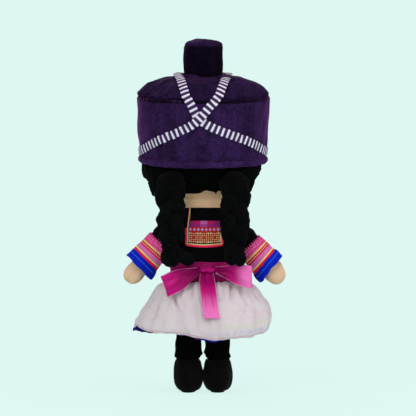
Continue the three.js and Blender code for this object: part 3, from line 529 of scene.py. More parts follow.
def velvet(part, painted_lighting, sheen, seam=None):
    """Velvet of one part of the hat. The tone it is given scales its colour for that part: painted light
    and shade, darkest for the knob's side, which faces away from the light, and lightest for the brim.
    Its nap lies in short upright streaks. The seam lies between two lengths of its map, in cm, and along
    it a dark ragged band is painted shadow where the crown overhangs the wall."""
    colour = chosen("hat").velvet

    def paint(graph):
        here = graph.here()
        brushed = graph.effect(patches, Vector=graph.scale(here, (1, 1, 0.5)), Size=0.012)["Shade"]
        streaks = graph.noise(graph.scale(here, (1, 1, 0.34)), 0.0012, 3.0)
        nap = graph.effect(pile, Vector=here, Size=0.0008)
        shade = brushed * 0.34 + graph.step(streaks, 0.36, 0.7) * 0.38 + nap["Tips"] * 0.4
        # painted light and shade: the tone sets how light this part's copy of the velvet is
        made = graph.mix(shade, darker(colour, 0.16 * painted_lighting), darker(colour, painted_lighting))
        # painted shadow: a dark ragged band along the seam, where the crown overhangs the wall
        if seam:
            ragged = (graph.noise(here, 0.003) - 0.5) * 0.12
            dark = graph.stripe(graph.split(graph.cloth())[1] + ragged, *seam, 0.03)
            made = graph.mix(dark * 0.9, made, darker(colour, 0.05))
        return made, nap["Height"] + streaks

    sheen = {"Sheen_Weight": sheen, "Sheen_Roughness": 0.3, "Sheen_Tint": srgb(170, 84, 178)}
    return fabric(f"Velvet {part}", paint, 0.5, Roughness=0.9, Specular_IOR_Level=0.04, **sheen)


def dashed_tape():
    """Dark tape with a dash of pale satin stitch across it in each repeat."""
    hat = chosen("hat")

    def paint(graph):
        v = graph.split(graph.cloth())[1]
        share = hat.dash_length / hat.dash_pitch / 2
        dash = graph.step(graph.away(v, hat.dash_pitch * 100), share + 0.035, share - 0.035)
        threads = graph.away(v, 0.055)
        thread_colour = graph.mix(threads * 0.8, hat.dash, darker(hat.dash, 0.62))
        thread_colour = graph.mix(graph.noise(graph.cloth(), 0.12) * 0.3, thread_colour, srgb(170, 150, 185))
        return graph.mix(dash, hat.velvet, thread_colour), dash * (threads * -0.5 + 1.0)

    return fabric("Dashed tape", paint, 0.5, Roughness=0.7, Specular_IOR_Level=0.15)


def napped(name, colour, fibre, broad, dark, relief, **plain):
    """Short-fibred cloth: a colour and a dark share of it, mixed by its patches and the tips of its pile."""

    def paint(graph):
        here = graph.here()
        nap = graph.effect(pile, Vector=here, Size=fibre)
        shade = (graph.effect(patches, Vector=here, Size=broad)["Shade"] + nap["Tips"]) * 0.5
        return graph.mix(shade, darker(colour, dark), colour), nap["Height"]

    return fabric(name, paint, relief, Roughness=0.95, Specular_IOR_Level=0.03, **plain)


def plush(part, depth):
    """Plush of one part of the hair, `depth` being its share of the full colour: painted shade, which
    makes the cap, under the hat's brim, darker than the plaits.
    """
    sheen = {"Sheen_Weight": 0.05 * depth, "Sheen_Roughness": 0.4, "Sheen_Tint": srgb(150, 150, 160)}
    colour = darker(chosen("hair").plush, depth)
    return napped(f"Black plush {part}", colour, 0.0011, 0.014, 0.4, 0.9, **sheen)


def suede():
    return napped("Suede", chosen("clothes").shoes, 0.0006, 0.016, 0.5, 0.3, Sheen_Weight=0.02)


def woven(name, colour, threads, contrast, relief, soil, specular):
    """Woven cloth of one colour, with lighter and darker threads and a little unevenness."""

    def paint(graph):
        yarn = graph.effect(weave, Vector=graph.cloth(), Threads=threads)
        broad = graph.effect(patches, Vector=graph.here(), Size=0.02)["Shade"]
        dark = (1.0 - yarn["Height"]) * 0.35 + yarn["Slubs"] * 0.65
        made = graph.mix(dark * contrast, colour, darker(colour, 0.3))
        return graph.mix(broad * soil, made, darker(colour, 0.6)), yarn["Height"]

    return fabric(name, paint, relief, Roughness=0.85, Specular_IOR_Level=specular)


def linen():
    return woven("Linen", chosen("body").linen, 13.0, 0.45, 0.16, 0.12, 0.1)


def neck_linen_painted_light():
    """A paler copy of the linen, with fainter threads and no patches: painted light, which lifts the
    neck out of the shade of the hair and the hat.
    """
    return woven("Neck linen painted light", chosen("body").neck_linen_painted_light, 13.0, 0.3, 0.16, 0.0, 0.1)


def black_cotton():
    return woven("Black cotton", chosen("clothes").jacket, 17.0, 0.5, 0.14, 0.3, 0.03)


def legging_cotton():
    return woven("Legging cotton", darker(chosen("clothes").jacket, 0.4), 17.0, 0.5, 0.14, 0.3, 0.02)


def white_cotton():
    """Thin white cotton, greyer in a band down its middle: painted shade of the back's deep folds and
    of the bow's tail. The print of the cloth beneath shows through low down, in faint bands.
    """
    colour = chosen("clothes").skirt

    def paint(graph):
        cloth, here = graph.cloth(), graph.here()
        yarn = graph.effect(weave, Vector=cloth, Threads=22.0)
        broad = graph.effect(patches, Vector=here, Size=0.022)["Shade"]
        u, v = graph.split(cloth)
        blots = graph.step(graph.noise(graph.scale(cloth, (1, 2.5, 1)), 0.5, 3.0), 0.4, 0.6)
        made = graph.mix(yarn["Slubs"] * 0.22, colour, srgb(172, 158, 168))
        made = graph.mix(broad * 0.16, made, srgb(196, 176, 190))
        across = graph.split(here)[0]
        # painted shade: a greyer band down the middle of the skirt
        made = graph.mix(graph.stripe(across, -0.02, 0.026, 0.024) * 0.34, made, srgb(178, 162, 168))
        for low, high, tint, strength in (
            (0.35, 0.8, srgb(150, 155, 195), 0.4),
            (1.0, 1.4, srgb(196, 200, 150), 0.45),
            (1.6, 2.6, srgb(205, 150, 170), 0.2),
        ):
            band = graph.stripe(v, low, high, 0.15) * blots * graph.step(across, 0.01, -0.045)
            made = graph.mix(band * strength, made, tint)
        specks = graph.stripe(v, 0.02, 0.2, 0.05) * graph.step(graph.noise(cloth, 0.09, 1.0), 0.6, 0.68)
        made = graph.mix(specks * 0.7, made, srgb(190, 40, 80))
        hem = graph.effect(stitch_row, Along=u, Across=v - 0.2, Pitch=0.28, Width=0.05)["Mask"]
        return graph.mix(hem * 0.6, made, srgb(178, 70, 104)), yarn["Height"] * 0.35 - hem

    return fabric("White cotton", paint, 0.2, Roughness=0.85, Specular_IOR_Level=0.15, Sheen_Weight=0.05)


def satin():
    """Satin ribbon: fine lengthwise threads, with painted light and shade from the value stored on its
    points: deep as painted shade in its folds and under the bow, pale as a painted highlight where it
    lies open to the light. Streaks of painted sheen run along it, and a painted highlight lines its
    edges. Its map is RIBBON_WIDTH across."""
    colour = chosen("clothes").ribbon

    def paint(graph):
        cloth = graph.cloth()
        fine = graph.noise(graph.scale(cloth, (1, 0.04, 1)), 0.05, 2.0)
        long = graph.noise(graph.scale(cloth, (1, 0.22, 1)), 0.5, 1.0)
        lit = graph.value("ShaderNodeAttribute", (), "Fac", attribute_name="PaintedLight")
        edge = RIBBON_WIDTH / 20
        edge_highlight = graph.step(abs(graph.split(cloth)[0] - edge), edge - 0.075, edge - 0.04)
        # painted shade: the ribbon starts deep, as in its folds and under the bow
        made = darker(colour, 0.42)
        for share, tint in (
            # painted light: full colour, then a painted highlight, where the stored value is high
            (graph.step(lit, 0.0, 0.55), colour),
            (graph.step(lit, 0.45, 1.1), srgb(244, 124, 196)),
            (fine * 0.4, darker(colour, 0.4)),
            # painted sheen: lighter and darker streaks along the ribbon
            (graph.step(long, 0.5, 0.78) * 0.2, srgb(220, 60, 150)),
            (graph.step(long, 0.44, 0.28) * 0.35, darker(colour, 0.35)),
            # painted highlight along both edges
            (edge_highlight * 0.6, srgb(236, 146, 196)),
        ):
            made = graph.mix(share, made, tint)
        return made, fine

    return fabric("Satin ribbon", paint, 0.06, Roughness=0.48, Specular_IOR_Level=0.08, Anisotropic=0.4)


def thread(name, colour):
    """Satin stitch: close parallel threads across the shape."""

    def paint(graph):
        strands = graph.away(graph.split(graph.here())[0], 0.0004)
        return graph.mix(strands, colour, darker(colour, 0.5)), strands

    return fabric(name, paint, 0.2, Roughness=0.65, Specular_IOR_Level=0.15)


def layered(graph, v, base, bands):
    """Colours laid one over another: each from its start along v, in cm."""
    made = base
    for start, colour in bands:
        made = graph.mix(graph.step(v, start - 0.008, start + 0.008), made, colour)
    return made


def sleeve_banding():
    """The bands of a sleeve, from the pinked edge to the cuff: pink print, yellow, red with a row of pale
    dots, lilac with fine lines, yellow and red."""

    def paint(graph):
        cloth = graph.cloth()
        u, v = graph.split(cloth)
        blots = graph.step(graph.noise(cloth, 0.16), 0.44, 0.56)
        printed = graph.mix(blots, srgb(232, 40, 112), srgb(250, 106, 168))
        ovals = graph.step(graph.away(u, 0.42), 0.14, 0.24) * graph.step(graph.away(v, 0.42), 0.16, 0.3)
        printed = graph.mix(ovals * 0.7, printed, srgb(236, 120, 206))
        printed = graph.mix(graph.step(graph.away(v, 0.3), 0.3, 0.45) * 0.5, printed, srgb(206, 14, 58))
        lines = graph.step(graph.away(v, 0.1), 0.3, 0.42) * 0.6
        lilac = graph.mix(lines, srgb(236, 124, 196), srgb(206, 78, 164))
        yellow, red = srgb(240, 232, 120), srgb(226, 18, 34)
        bands = [(0.84, yellow), (0.97, red), (1.36, lilac), (1.84, yellow), (1.98, srgb(244, 26, 62))]
        made = layered(graph, v, printed, bands)
        squares = graph.math("POWER", graph.saw(u, 0.24) * 0.24, 2.0) + graph.math("POWER", v - 1.165, 2.0)
        made = graph.mix(graph.step(graph.math("SQRT", squares), 0.068, 0.05), made, srgb(255, 226, 232))
        yarn = graph.effect(weave, Vector=cloth, Threads=20.0)
        return graph.mix(yarn["Slubs"] * 0.22, made, srgb(90, 10, 50)), yarn["Height"]

    return fabric("Sleeve banding", paint, 0.15, Roughness=0.8, Specular_IOR_Level=0.08)


def blue_cloth():
    """Blue cotton with one row of lighter stitches."""
    colour = chosen("clothes").cuff

    def paint(graph):
        cloth = graph.cloth()
        u, v = graph.split(cloth)
        yarn = graph.effect(weave, Vector=cloth, Threads=18.0)
        made = graph.mix(yarn["Slubs"] * 0.55, colour, darker(colour, 0.25))
        marks = graph.effect(stitch_row, Along=u, Across=v - 0.42, Pitch=0.3, Width=0.07)["Mask"]
        return graph.mix(marks * 0.7, made, srgb(50, 120, 225)), yarn["Height"] * 0.4 + marks

    return fabric("Blue cloth", paint, 0.2, Roughness=0.85, Specular_IOR_Level=0.08)


PANEL_WIDTH, PANEL_MOTIFS, PANEL_DIAMONDS = 3.12, 3, 8
PANEL_ROWS = {"diamonds": 0.6, "squares": 1.17, "edge": 2.2}  # cm below the panel's top


def pink_strip(graph, u, v):
    """Blocks of crimson, lilac and violet, with small dark points in a row below."""
    block = u / PANEL_WIDTH
    made = srgb(205, 20, 100)
    for low, high, tint in (
        (-0.2, 0.16, srgb(152, 32, 122)),
        (0.38, 0.6, srgb(212, 104, 184)),
        (0.82, 1.2, srgb(142, 24, 104)),
    ):
        made = graph.mix(graph.stripe(block, low, high, 0.04), made, tint)
    made = graph.mix(graph.step(v, 0.3, 0.36) * 0.6, made, srgb(160, 36, 140))
    points = graph.away(u, 0.2) + abs((v - 0.43) * 5)
    return graph.mix(graph.step(points, 0.34, 0.2), made, srgb(84, 24, 120))


def diamond_strip(graph, u, v):
    """Lilac diamonds on red, each joined to the next by a stitch."""
    pitch = PANEL_WIDTH / PANEL_DIAMONDS
    du = graph.away(u, pitch) * pitch
    dv = abs(v - 0.87)
    inside = du / 0.145 + dv / 0.2
    made = graph.mix(graph.step(inside, 1.1, 0.85), srgb(200, 14, 26), srgb(222, 170, 226))
    made = graph.mix(graph.step(inside, 0.42, 0.2), made, srgb(150, 110, 210))
    return graph.mix(graph.step(dv, 0.03, 0.01) * graph.step(du, 0.16, 0.19), made, srgb(240, 190, 210))


def squares_strip(graph, u, v):
    """Squares of cross stitch: a lattice of cream on dark red, pale corners, red strips between."""
    p = graph.away(u, PANEL_WIDTH / PANEL_MOTIFS) * 2.0
    q = abs((v - 1.685) / 0.515)
    reach, cross = p + q, abs(p - q)
    lattice = (graph.away(reach, 0.8) - 0.25) * (graph.away(cross, 0.8) - 0.25)
    made = graph.mix(graph.step(lattice, 0.002, 0.014), srgb(184, 6, 12), srgb(252, 200, 146))
    made = graph.mix(graph.step(reach, 0.2, 0.12), made, srgb(120, 8, 14))
    pale = graph.step(reach, 1.42, 1.52) * graph.step(cross, 0.52, 0.42)
    made = graph.mix(pale, made, srgb(232, 244, 200))
    strip = graph.math("MAXIMUM", graph.step(p, 0.86, 0.92), graph.step(q, 0.94, 0.99))
    return graph.mix(strip, made, srgb(190, 14, 24))


def embroidery():
    """The collar's panel, row by row from its top."""

    def paint(graph):
        cloth = graph.cloth()
        u, v = graph.split(cloth)
        strips = (diamond_strip(graph, u, v), squares_strip(graph, u, v), srgb(18, 44, 30))
        made = layered(graph, v, pink_strip(graph, u, v), zip(PANEL_ROWS.values(), strips))
        stitches = graph.effect(weave, Vector=cloth, Threads=16.0)
        return graph.mix(stitches["Slubs"] * 0.15, made, srgb(60, 5, 20)), stitches["Height"]

    return fabric("Embroidery", paint, 0.25, Roughness=0.7, Specular_IOR_Level=0.25)


def binding_tape():
    """Folded tape: hot pink, with a pale yellow piping on its inner edge and a dark green line beside it.
    Its map runs across the tape from 0 at the outer edge to 1 at the inner."""

    def paint(graph):
        u, v = graph.split(graph.cloth())
        made = layered(graph, v, srgb(246, 30, 88), [(0.64, srgb(226, 226, 140)), (0.9, srgb(40, 70, 34))])
        lines = graph.away(u, 0.09)
        return graph.mix(lines * graph.noise(graph.cloth(), 0.25) * 0.9, made, srgb(130, 20, 60)), lines

    return fabric("Binding tape", paint, 0.15, Roughness=0.7, Specular_IOR_Level=0.25)


def underskirt_print():
    """Batik of the underskirt: blue with maroon and violet lengths, and a maroon hem at one corner."""
    colour = chosen("clothes").underskirt

    def paint(graph):
        cloth = graph.cloth()
        parts = graph.step(graph.noise(graph.scale(cloth, (1, 0.2, 1)), 2.4, 1.0), 0.5, 0.58)
        made = graph.mix(parts, colour, srgb(96, 22, 84))
        corner = graph.stripe(graph.split(graph.here())[0], 0.045, 0.058, 0.004)
        hem = graph.step(graph.split(cloth)[1], 0.15, 0.1)
        made = graph.mix(corner * hem, made, srgb(120, 20, 70))
        yarn = graph.effect(weave, Vector=cloth, Threads=18.0)
        return graph.mix(yarn["Slubs"] * 0.4, made, srgb(40, 8, 70)), yarn["Height"]

    return fabric("Underskirt print", paint, 0.12, Roughness=0.8, Specular_IOR_Level=0.2)


# Body: torso, neck, head and face

SHOULDER_Z = 160
TORSO_ROWS = [  # height, half width, half depth
    (97, 20.3, 14.7), (100, 27.1, 19.5), (106, 30.8, 22.2), (136, 30.5, 22.4), (155, 28, 21.5),
    (168, 26, 20.6), (178.5, 22.9, 20.2), (181.5, 20.9, 19.2), (184.5, 18.4, 17.9),
]
JACKET_OUT, LAYER_GAP, TRIM = 1.55, 0.35, 0.7  # the jacket's outer side above the torso, gap, and trim cloth
HEAD_CENTRE, HEAD_HALF, HEAD_POWER = np.array([0, -3, 236]), (55, 47, 42.6), 2.3


def on_torso(turn, z, out):
    """The torso's side at an angle and height, `out` mm above its cloth."""
    width, depth = between(TORSO_ROWS, z)
    return np.stack([(width + out) * np.cos(turn), (depth + out) * np.sin(turn), z + 0 * turn], -1)


def on_torso_at(x, z, out, back=True):
    """The torso's back or front at a place across and a height, `out` mm above its cloth."""
    width, depth = between(TORSO_ROWS, z)
    reach = np.sqrt(np.maximum(1 - (x / (width + out)) ** 2, 0.01))
    return np.stack([x + 0 * z, (depth + out) * reach * (1 if back else -1), z + 0 * x], -1)


def on_head(x, z, out):
    """The front of the head at a place across and a height: a superellipsoid of power HEAD_POWER."""
    share = (1 - np.abs((z - HEAD_CENTRE[2]) / HEAD_HALF[2]) ** HEAD_POWER) ** (1 / HEAD_POWER)
    width, depth = HEAD_HALF[0] * share, HEAD_HALF[1] * share
    y = HEAD_CENTRE[1] - (depth + out) * np.sqrt(np.maximum(1 - (x / width) ** 2, 0))
    return np.stack([x, y, z + 0 * x], -1)


def head_form():
    """The head: rings of the same superellipsoid, from its lower pole to its upper."""
    rise = np.sin(np.linspace(-1, 1, 40) * math.pi / 2 * 0.985)
    share = (1 - np.abs(rise) ** HEAD_POWER) ** (1 / HEAD_POWER)
    middle = HEAD_CENTRE + np.outer(rise * HEAD_HALF[2], Z_AXIS)
    made = rings(middle, X_AXIS, Y_AXIS, HEAD_HALF[0] * share, HEAD_HALF[1] * share, 72)
    return swollen(made, 0.35 * ripples(made, 34, 3))


def make_body():
    """Torso, neck, and the head with its sewn eyes and mouth."""
    body = chosen("body")
    rows = np.array(TORSO_ROWS[:-1]) - [0, 0.9, 0.9]  # a little slimmer than the jacket's lining
    piece("torso", stuffed(rows, (0, 0, 0), 40, 56), "ball", "torso", "linen", linen(), tight=0.8)
    z = np.linspace(180.5, 207, 40)
    folds = 0.35 * np.sin((z - 181) / 7.5 * TAU) * ease(z, 182, 186) - 0.9 * hump(z, 189.5, 1.1)
    neck = rings(np.outer(z, Z_AXIS), X_AXIS, Y_AXIS, 20.4 + folds, 19.2 + folds, 112)
    neck = swollen(neck, 0.25 * ripples(neck, 16, 5) - 0.6 * hump(angles(112), math.pi / 2, 0.06))
    # painted light: the neck wears a paler copy of the linen
    piece("neck", neck, "ball", "neck", "linen", neck_linen_painted_light(), tight=0.8)
    piece("head", head_form(), "ball", "head", "linen", linen(), tight=0.9)
    share, turn = np.linspace(0.08, 1, 7)[:, None], angles(28)
    black = thread("Black thread", body.thread)
    for side, sign in SIDES.items():
        x = sign * body.eye_out / MM + 2.6 * share * np.cos(turn)
        dome = on_head(x, 217 + 3.8 * share * np.sin(turn), 0.1 + 1.0 * np.sqrt(1 - (0.98 * share) ** 2))
        piece(f"eye_{side}", dome, "ball", "head", "thread", black, inside=HEAD_CENTRE)
    turn = np.radians(np.linspace(216, 324, 26))
    middle = on_head(6.65 * np.cos(turn), 214.3 + 6.65 * np.sin(turn), 0.35)
    across = np.stack([np.cos(turn), 0 * turn, np.sin(turn)], -1)
    swell = 0.75 * np.sqrt(np.maximum(np.sin(np.linspace(0.08, math.pi - 0.08, 26)), 0.05))
    smile = rings(middle, across, Y_AXIS, swell, swell * 0.8, 12)
    piece("mouth", smile, "ball", "head", "embroidery", thread("Red thread", srgb(176, 30, 50)))


# Hat, in a frame of its own that leans back

HAT_CENTRE, HAT_LEAN = np.array([0, -2, 229]), math.radians(8)
HAT_RADIUS, HAT_DEPTH_SHARE, HAT_HEIGHT = 65.6, 0.9, 66.5
CROWN_RISE, HAT_WALL, BRIM_HALF = 20.5, 2.6, (2.7, 3.2)
KNOB_RADIUS = 19.3
WALL_ROWS = [  # height, share of the hat's radius
    (6.75, 0.957), (20, 0.985), (43, 1.008), (58.5, 1.01), (64.5, 1.002), (66.6, 0.975),
]
CROWN_ROWS = [
    (66.4, 0.955), (67.2, 0.975), (70.2, 0.977), (75.7, 0.89), (80.9, 0.78), (85, 0.63), (87, 0.47),
    (86.4, 0.3), (86.2, 0.1),
]
KNOB_FOOT = HAT_HEIGHT + CROWN_RISE * 0.97
KNOB_SIDE = [  # height above the knob's foot, share of its radius
    (-0.6, 0.86), (0.4, 0.92), (3.6, 0.965), (15, 0.985), (25.5, 1.0), (28.8, 0.985), (29.9, 0.93),
]
KNOB_TOP = [(29.8, 0.9), (30.5, 0.935), (32.2, 0.91), (34.6, 0.72), (35.9, 0.38), (36.1, 0.08)]
TRIM_LOW = [(0, 10.5), (45, 24.6), (87, 45.6), (101.5, 66.5)]  # angle from the side, height on the wall
TRIM_HIGH = [(-22.6, 28, 0.955), (-25.4, 0, 0.99)]  # across, deep, share of the crown's rise
TRIM_HALF_WIDTH, TRIM_OUT = 4.1, 0.7
CROSSING = (48, 16, 3.4)  # height of the tapes' crossing at the back, its shift's reach, and the shift
HAT_OUTLINE = np.concatenate([through(WALL_ROWS[:-1], 30), through(CROWN_ROWS[1:], 40)]) * [1, HAT_RADIUS]


def from_hat(points):
    """Hat coordinates into the doll's: turned back by the lean about X, then moved up to the brim."""
    x, y, z = np.moveaxis(np.asarray(points, float), -1, 0)
    c, s = math.cos(HAT_LEAN), math.sin(HAT_LEAN)
    return np.stack([x, y * c + z * s, z * c - y * s], -1) + HAT_CENTRE


def give(points):
    """How far the hat's stuffed cloth stands in or out of its plain form, in mm."""
    return 0.55 * ripples(points, 46, 11) + 0.22 * ripples(points, 17, 12)


def around(grid):
    """Each point's angle about the upright axis."""
    return np.arctan2(grid[..., 1], grid[..., 0])


def circle(count):
    """Points of a level circle of radius 1."""
    turn = angles(count)
    return np.stack([np.cos(turn), np.sin(turn), 0 * turn], -1)


def hat_rings(rows):
    """Level ovals at rows of height and share of HAT_RADIUS, less deep than wide by HAT_DEPTH_SHARE."""
    z, share = np.asarray(rows, float).T
    radius = HAT_RADIUS * share
    return rings(np.outer(z, Z_AXIS), X_AXIS, Y_AXIS, radius, radius * HAT_DEPTH_SHARE, 180)


def hat_wall_form(pucker):
    """The wall: up its outer side, over a soft top edge, and down inside, with puckers at the top seam."""
    outer = through(WALL_ROWS, 44)
    made = hat_rings(np.concatenate([outer, outer[::-4] - [0, HAT_WALL / HAT_RADIUS]]))
    z, turn = made[..., 2], around(made)
    gathers = np.sin(61 * turn + 2 * np.sin(7 * turn)) * hump(z, HAT_HEIGHT, 5)
    seam = -0.8 * hump(turn, -math.pi / 2, 0.02) * (z < HAT_HEIGHT)
    return swollen(made, give(made) + pucker * 0.45 * gathers + seam, (0, 0, 30))


def crown_form(pucker):
    """The crown: from a pole below, out to the seam, and up over the puffed top to the knob's foot.
    Puckers run in from the seam and fade, and broad folds cross it."""
    made = hat_rings(np.concatenate([[(66.2, 0.3), (66.2, 0.8)], through(CROWN_ROWS, 46)]))
    z, turn = made[..., 2], around(made)
    rise = np.clip((z - HAT_HEIGHT) / CROWN_RISE, 0, 1)
    gathers = np.sin(47 * turn + 3 * np.sin(5 * turn)) + 0.6 * np.sin(29 * turn + 1)
    amount = give(made) + pucker * 0.55 * gathers * np.exp(-rise / 0.28) * (z > 66.3)
    amount += 0.5 * np.sin(9 * turn + 2 * rise) * rise * (1 - rise) * 3
    return swollen(made, amount, (0, 0, 60))


def knob_form(rows, count, size, seed):
    """A part of the knob, from rows above its foot, with lumps of a size in mm."""
    z, share = through(rows, count).T
    radius = KNOB_RADIUS * share
    made = rings(np.outer(z + KNOB_FOOT, Z_AXIS), X_AXIS, Y_AXIS, radius, radius, 96, 2.2)
    return made, 0.5 * ripples(made, size, seed)


def make_hat():
    """Velvet wall, puffed crown, brim roll, and the stuffed knob with its top panel."""
    pucker = chosen("hat").pucker / MM
    # each part's velvet has its own painted light and shade; the wall's has painted shadow at its seam
    wall, finish = from_hat(hat_wall_form(pucker)), velvet("wall", 0.9, 0.75, (5.66, 6.05))
    piece("hat_side", wall, "torus", "head", "velvet", finish, tight=0.5, inside=from_hat((0, 0, 30)))
    crown = sew("hat_crown", from_hat(crown_form(pucker)), "ball")
    seam = np.append(crown_form(0)[..., 2].ravel() < 67.0, [True, False])
    fill(crown, 3.5, 0.03, 1.6, held=seam)
    wear(crown, "hat_crown", "head", velvet("crown", 0.62, 0.12))
    out = circle(180)
    reach = HAT_RADIUS - BRIM_HALF[0] - 0.8
    middle = out * [reach, reach * HAT_DEPTH_SHARE, 0] + [0, 0, BRIM_HALF[1]]
    roll = rings(middle, out, Z_AXIS, *BRIM_HALF, 16)
    roll = from_hat(roll + (0.35 * ripples(roll, 12, 31))[..., None] * normals(roll, True))
    # painted light: the brim's velvet is lighter than the wall's
    low, finish = from_hat((0, 0, 3)), velvet("brim", 1.25, 0.5)
    piece("hat_brim", roll, "torus", "head", "velvet", finish, tight=0.6, mended=True, inside=low)
    side, side_lumps = knob_form(KNOB_SIDE, 34, 22, 21)
    side = swollen(side, side_lumps - 0.7 * hump(around(side), math.pi / 2 + 0.06, 0.035))
    top, top_lumps = knob_form(KNOB_TOP, 20, 18, 22)
    gathers = np.sin(31 * around(top)) * np.exp(-np.maximum(top[..., 2] - KNOB_FOOT - 30.4, 0) / 2)
    top = swollen(top, top_lumps + 0.3 * gathers)
    # painted shade: the knob's side, which faces away from the light, is far darker than its top
    for name, grid, finish in (
        ("knob_side", side, velvet("knob", 0.14, 0.1)),
        ("knob_top", top, velvet("knob top", 0.55, 0.2)),
    ):
        knob = sew(name, from_hat(grid), "ball")
        fill(knob, 3.0, 0.02, 1.2)
        wear(knob, name, "head", finish)


def trim_line(sign, count):
    """The middle of a tape: a closed curve that hangs low on one side and passes beside the knob. It is a
    Catmull-Rom curve whose knots lie the square root of the distance apart."""
    angle, height = np.array(TRIM_LOW).T
    angle = np.radians(angle)
    low = np.stack([HAT_RADIUS * np.cos(angle), HAT_RADIUS * HAT_DEPTH_SHARE * np.sin(angle), height], -1)
    back = np.concatenate([low, [(x, y, HAT_HEIGHT + CROWN_RISE * rise) for x, y, rise in TRIM_HIGH]])
    loop = np.concatenate([back, back[1:-1][::-1] * [1, -1, 1]]) * [sign, 1, 1]
    ringed = np.concatenate([loop[-2:], loop, loop[:3]])
    gaps = np.linalg.norm(np.diff(ringed, axis=0), axis=1) ** 0.5
    knots = np.concatenate([[0], np.cumsum(gaps)])
    at = np.linspace(knots[2], knots[2 + len(loop)], count, endpoint=False)
    i = np.clip(np.searchsorted(knots, at, "right") - 1, 1, len(ringed) - 3)
    t = [knots[i + k][:, None] for k in (-1, 0, 1, 2)]
    made = [ringed[i + k] for k in (-1, 0, 1, 2)]
    s = at[:, None]

    def mixed(a, b, start, end):
        return (a * (end - s) + b * (s - start)) / (end - start)

    for gap in (1, 2):
        made = [mixed(made[k], made[k + 1], t[k], t[k + gap]) for k in range(4 - gap)]
    line = mixed(*made, t[1], t[2])
    height, reach, shift = CROSSING
    line[:, 0] += shift * hump(line[:, 2], height, reach) * ease(line[:, 1], 20, 50)
    return line


def hat_foot(points):
    """The nearest place on the hat's outline to each point, with the outline's normal there."""
    from_axis = np.hypot(points[..., 0], points[..., 1] / HAT_DEPTH_SHARE)
    gaps = np.hypot(from_axis[..., None] - HAT_OUTLINE[:, 1], points[..., 2, None] - HAT_OUTLINE[:, 0])
    weight = np.exp(-((gaps - gaps.min(-1, keepdims=True)) / 1.5))
    weight /= weight.sum(-1, keepdims=True)
    z, reach = weight @ HAT_OUTLINE[:, 0], weight @ HAT_OUTLINE[:, 1]
    steps = np.gradient(HAT_OUTLINE, axis=0)
    rise, out = -(weight @ steps[:, 1]), weight @ steps[:, 0]
    flat = unit(points * [1, 1 / HAT_DEPTH_SHARE**2, 0])
    normal = unit(flat * out[..., None] + rise[..., None] * Z_AXIS)
    scale = reach / np.maximum(from_axis, 1e-9)
    return np.stack([points[..., 0] * scale, points[..., 1] * scale, z], -1), normal


def trim_form(line, lift):
    """A strip of tape along a line on the hat: each crossing point is set on the hat's outline and stands
    off by TRIM_OUT, the lift, and the give of the cloth beneath."""
    at, normal = hat_foot(line)
    aside = unit(np.cross(normal, np.roll(at, -1, 0) - np.roll(at, 1, 0)))
    across = np.linspace(-1, 1, 7) * TRIM_HALF_WIDTH
    strip, out = hat_foot(at[:, None] + across[:, None] * aside[:, None])
    stand = TRIM_OUT * (1 - 0.6 * ease(strip[..., 2], 79, 85)) + TRIM + lift[:, None] + give(strip)
    stand = stand + 0.15 * np.cos(across / TRIM_HALF_WIDTH * 1.5)
    return strip + out * stand[..., None]


def make_hat_trims():
    """Two dashed tapes that cross at the back and at the front, the left over the right."""
    right, left = trim_line(-1, 420), trim_line(1, 420)
    nearest = np.linalg.norm(left[:, None] - right[None], axis=-1).min(1)
    over = (1 - ease(nearest, 9.8, 16.4)) * (TRIM + LAYER_GAP)
    middle = from_hat((0, 0, 40))
    for side, line, lift in (("right", right, 0 * over), ("left", left, over)):
        grid = from_hat(trim_form(line, lift))
        piece(f"hat_trim_{side}", grid, "belt", "head", "trim", dashed_tape(), TRIM, inside=middle)


# Hair and plaits

HAIR_ROWS = [  # height, half width at the left and at the right, half depth
    (190.9, 41, 39, 22), (194.9, 51, 45.5, 30), (203.4, 53.5, 48.5, 40), (211, 54.8, 51, 46),
    (215, 59.5, 53, 48), (222.4, 61, 57, 51.1), (236, 60, 59.8, 51.6), (252, 56.8, 56.8, 48.8),
]
FACE_HALF, FACE_MIDDLE = (43, 26.5), 202.5
NAPE_REACH = 57  # half the width over which the hair's foot follows NAPE
HAIR_FOOT, HAIR_TOP, HAIR_THICKNESS = 191.4, 250, 5.2
NAPE = [  # place across, and height of the hair's edge over the nape
    (-45, 191.4), (-36, 197.8), (-28, 198.2), (-25, 194.8), (-22.6, 197), (-14, 197.8), (-5.6, 198.6),
    (0, 197.4), (5.4, 195.8), (13, 195.4), (21, 195.5), (33, 195.4), (45, 191.4),
]
PLAIT_OUT, PLAIT_BACK, TIE_BACK = 31.5, 42, 43
PLAIT_TOP, PLAIT_LENGTH, PLAIT_TURNS = 207, 60.5, 0.86
PLAIT_SPREAD, PLAIT_WEAVE, PLAIT_GATHER, PLAIT_PINCH = 7.4, 5.4, 0.62, 0.72
STRAND_HALF, TAIL_LENGTH = (6.7, 6.2), 20.5
TAIL_ENDS = {  # each strand's loose end: how far out and back from the tie, how full, its share of the length
    "left": [(-0.6, 3.4, 1.4, 1.0), (-17.5, 2.6, 1.02, 0.98), (2.5, -5.6, 1.15, 0.92)],
    "right": [(3.6, 1.4, 1.3, 1.0), (-2.6, 4.6, 1.3, 0.72), (-4.0, -5.6, 1.1, 0.92)],
}


def tufts(points, seed):
    """The small unevenness of plush, in mm."""
    return 0.24 * ripples(points, 3.4, seed, 14)


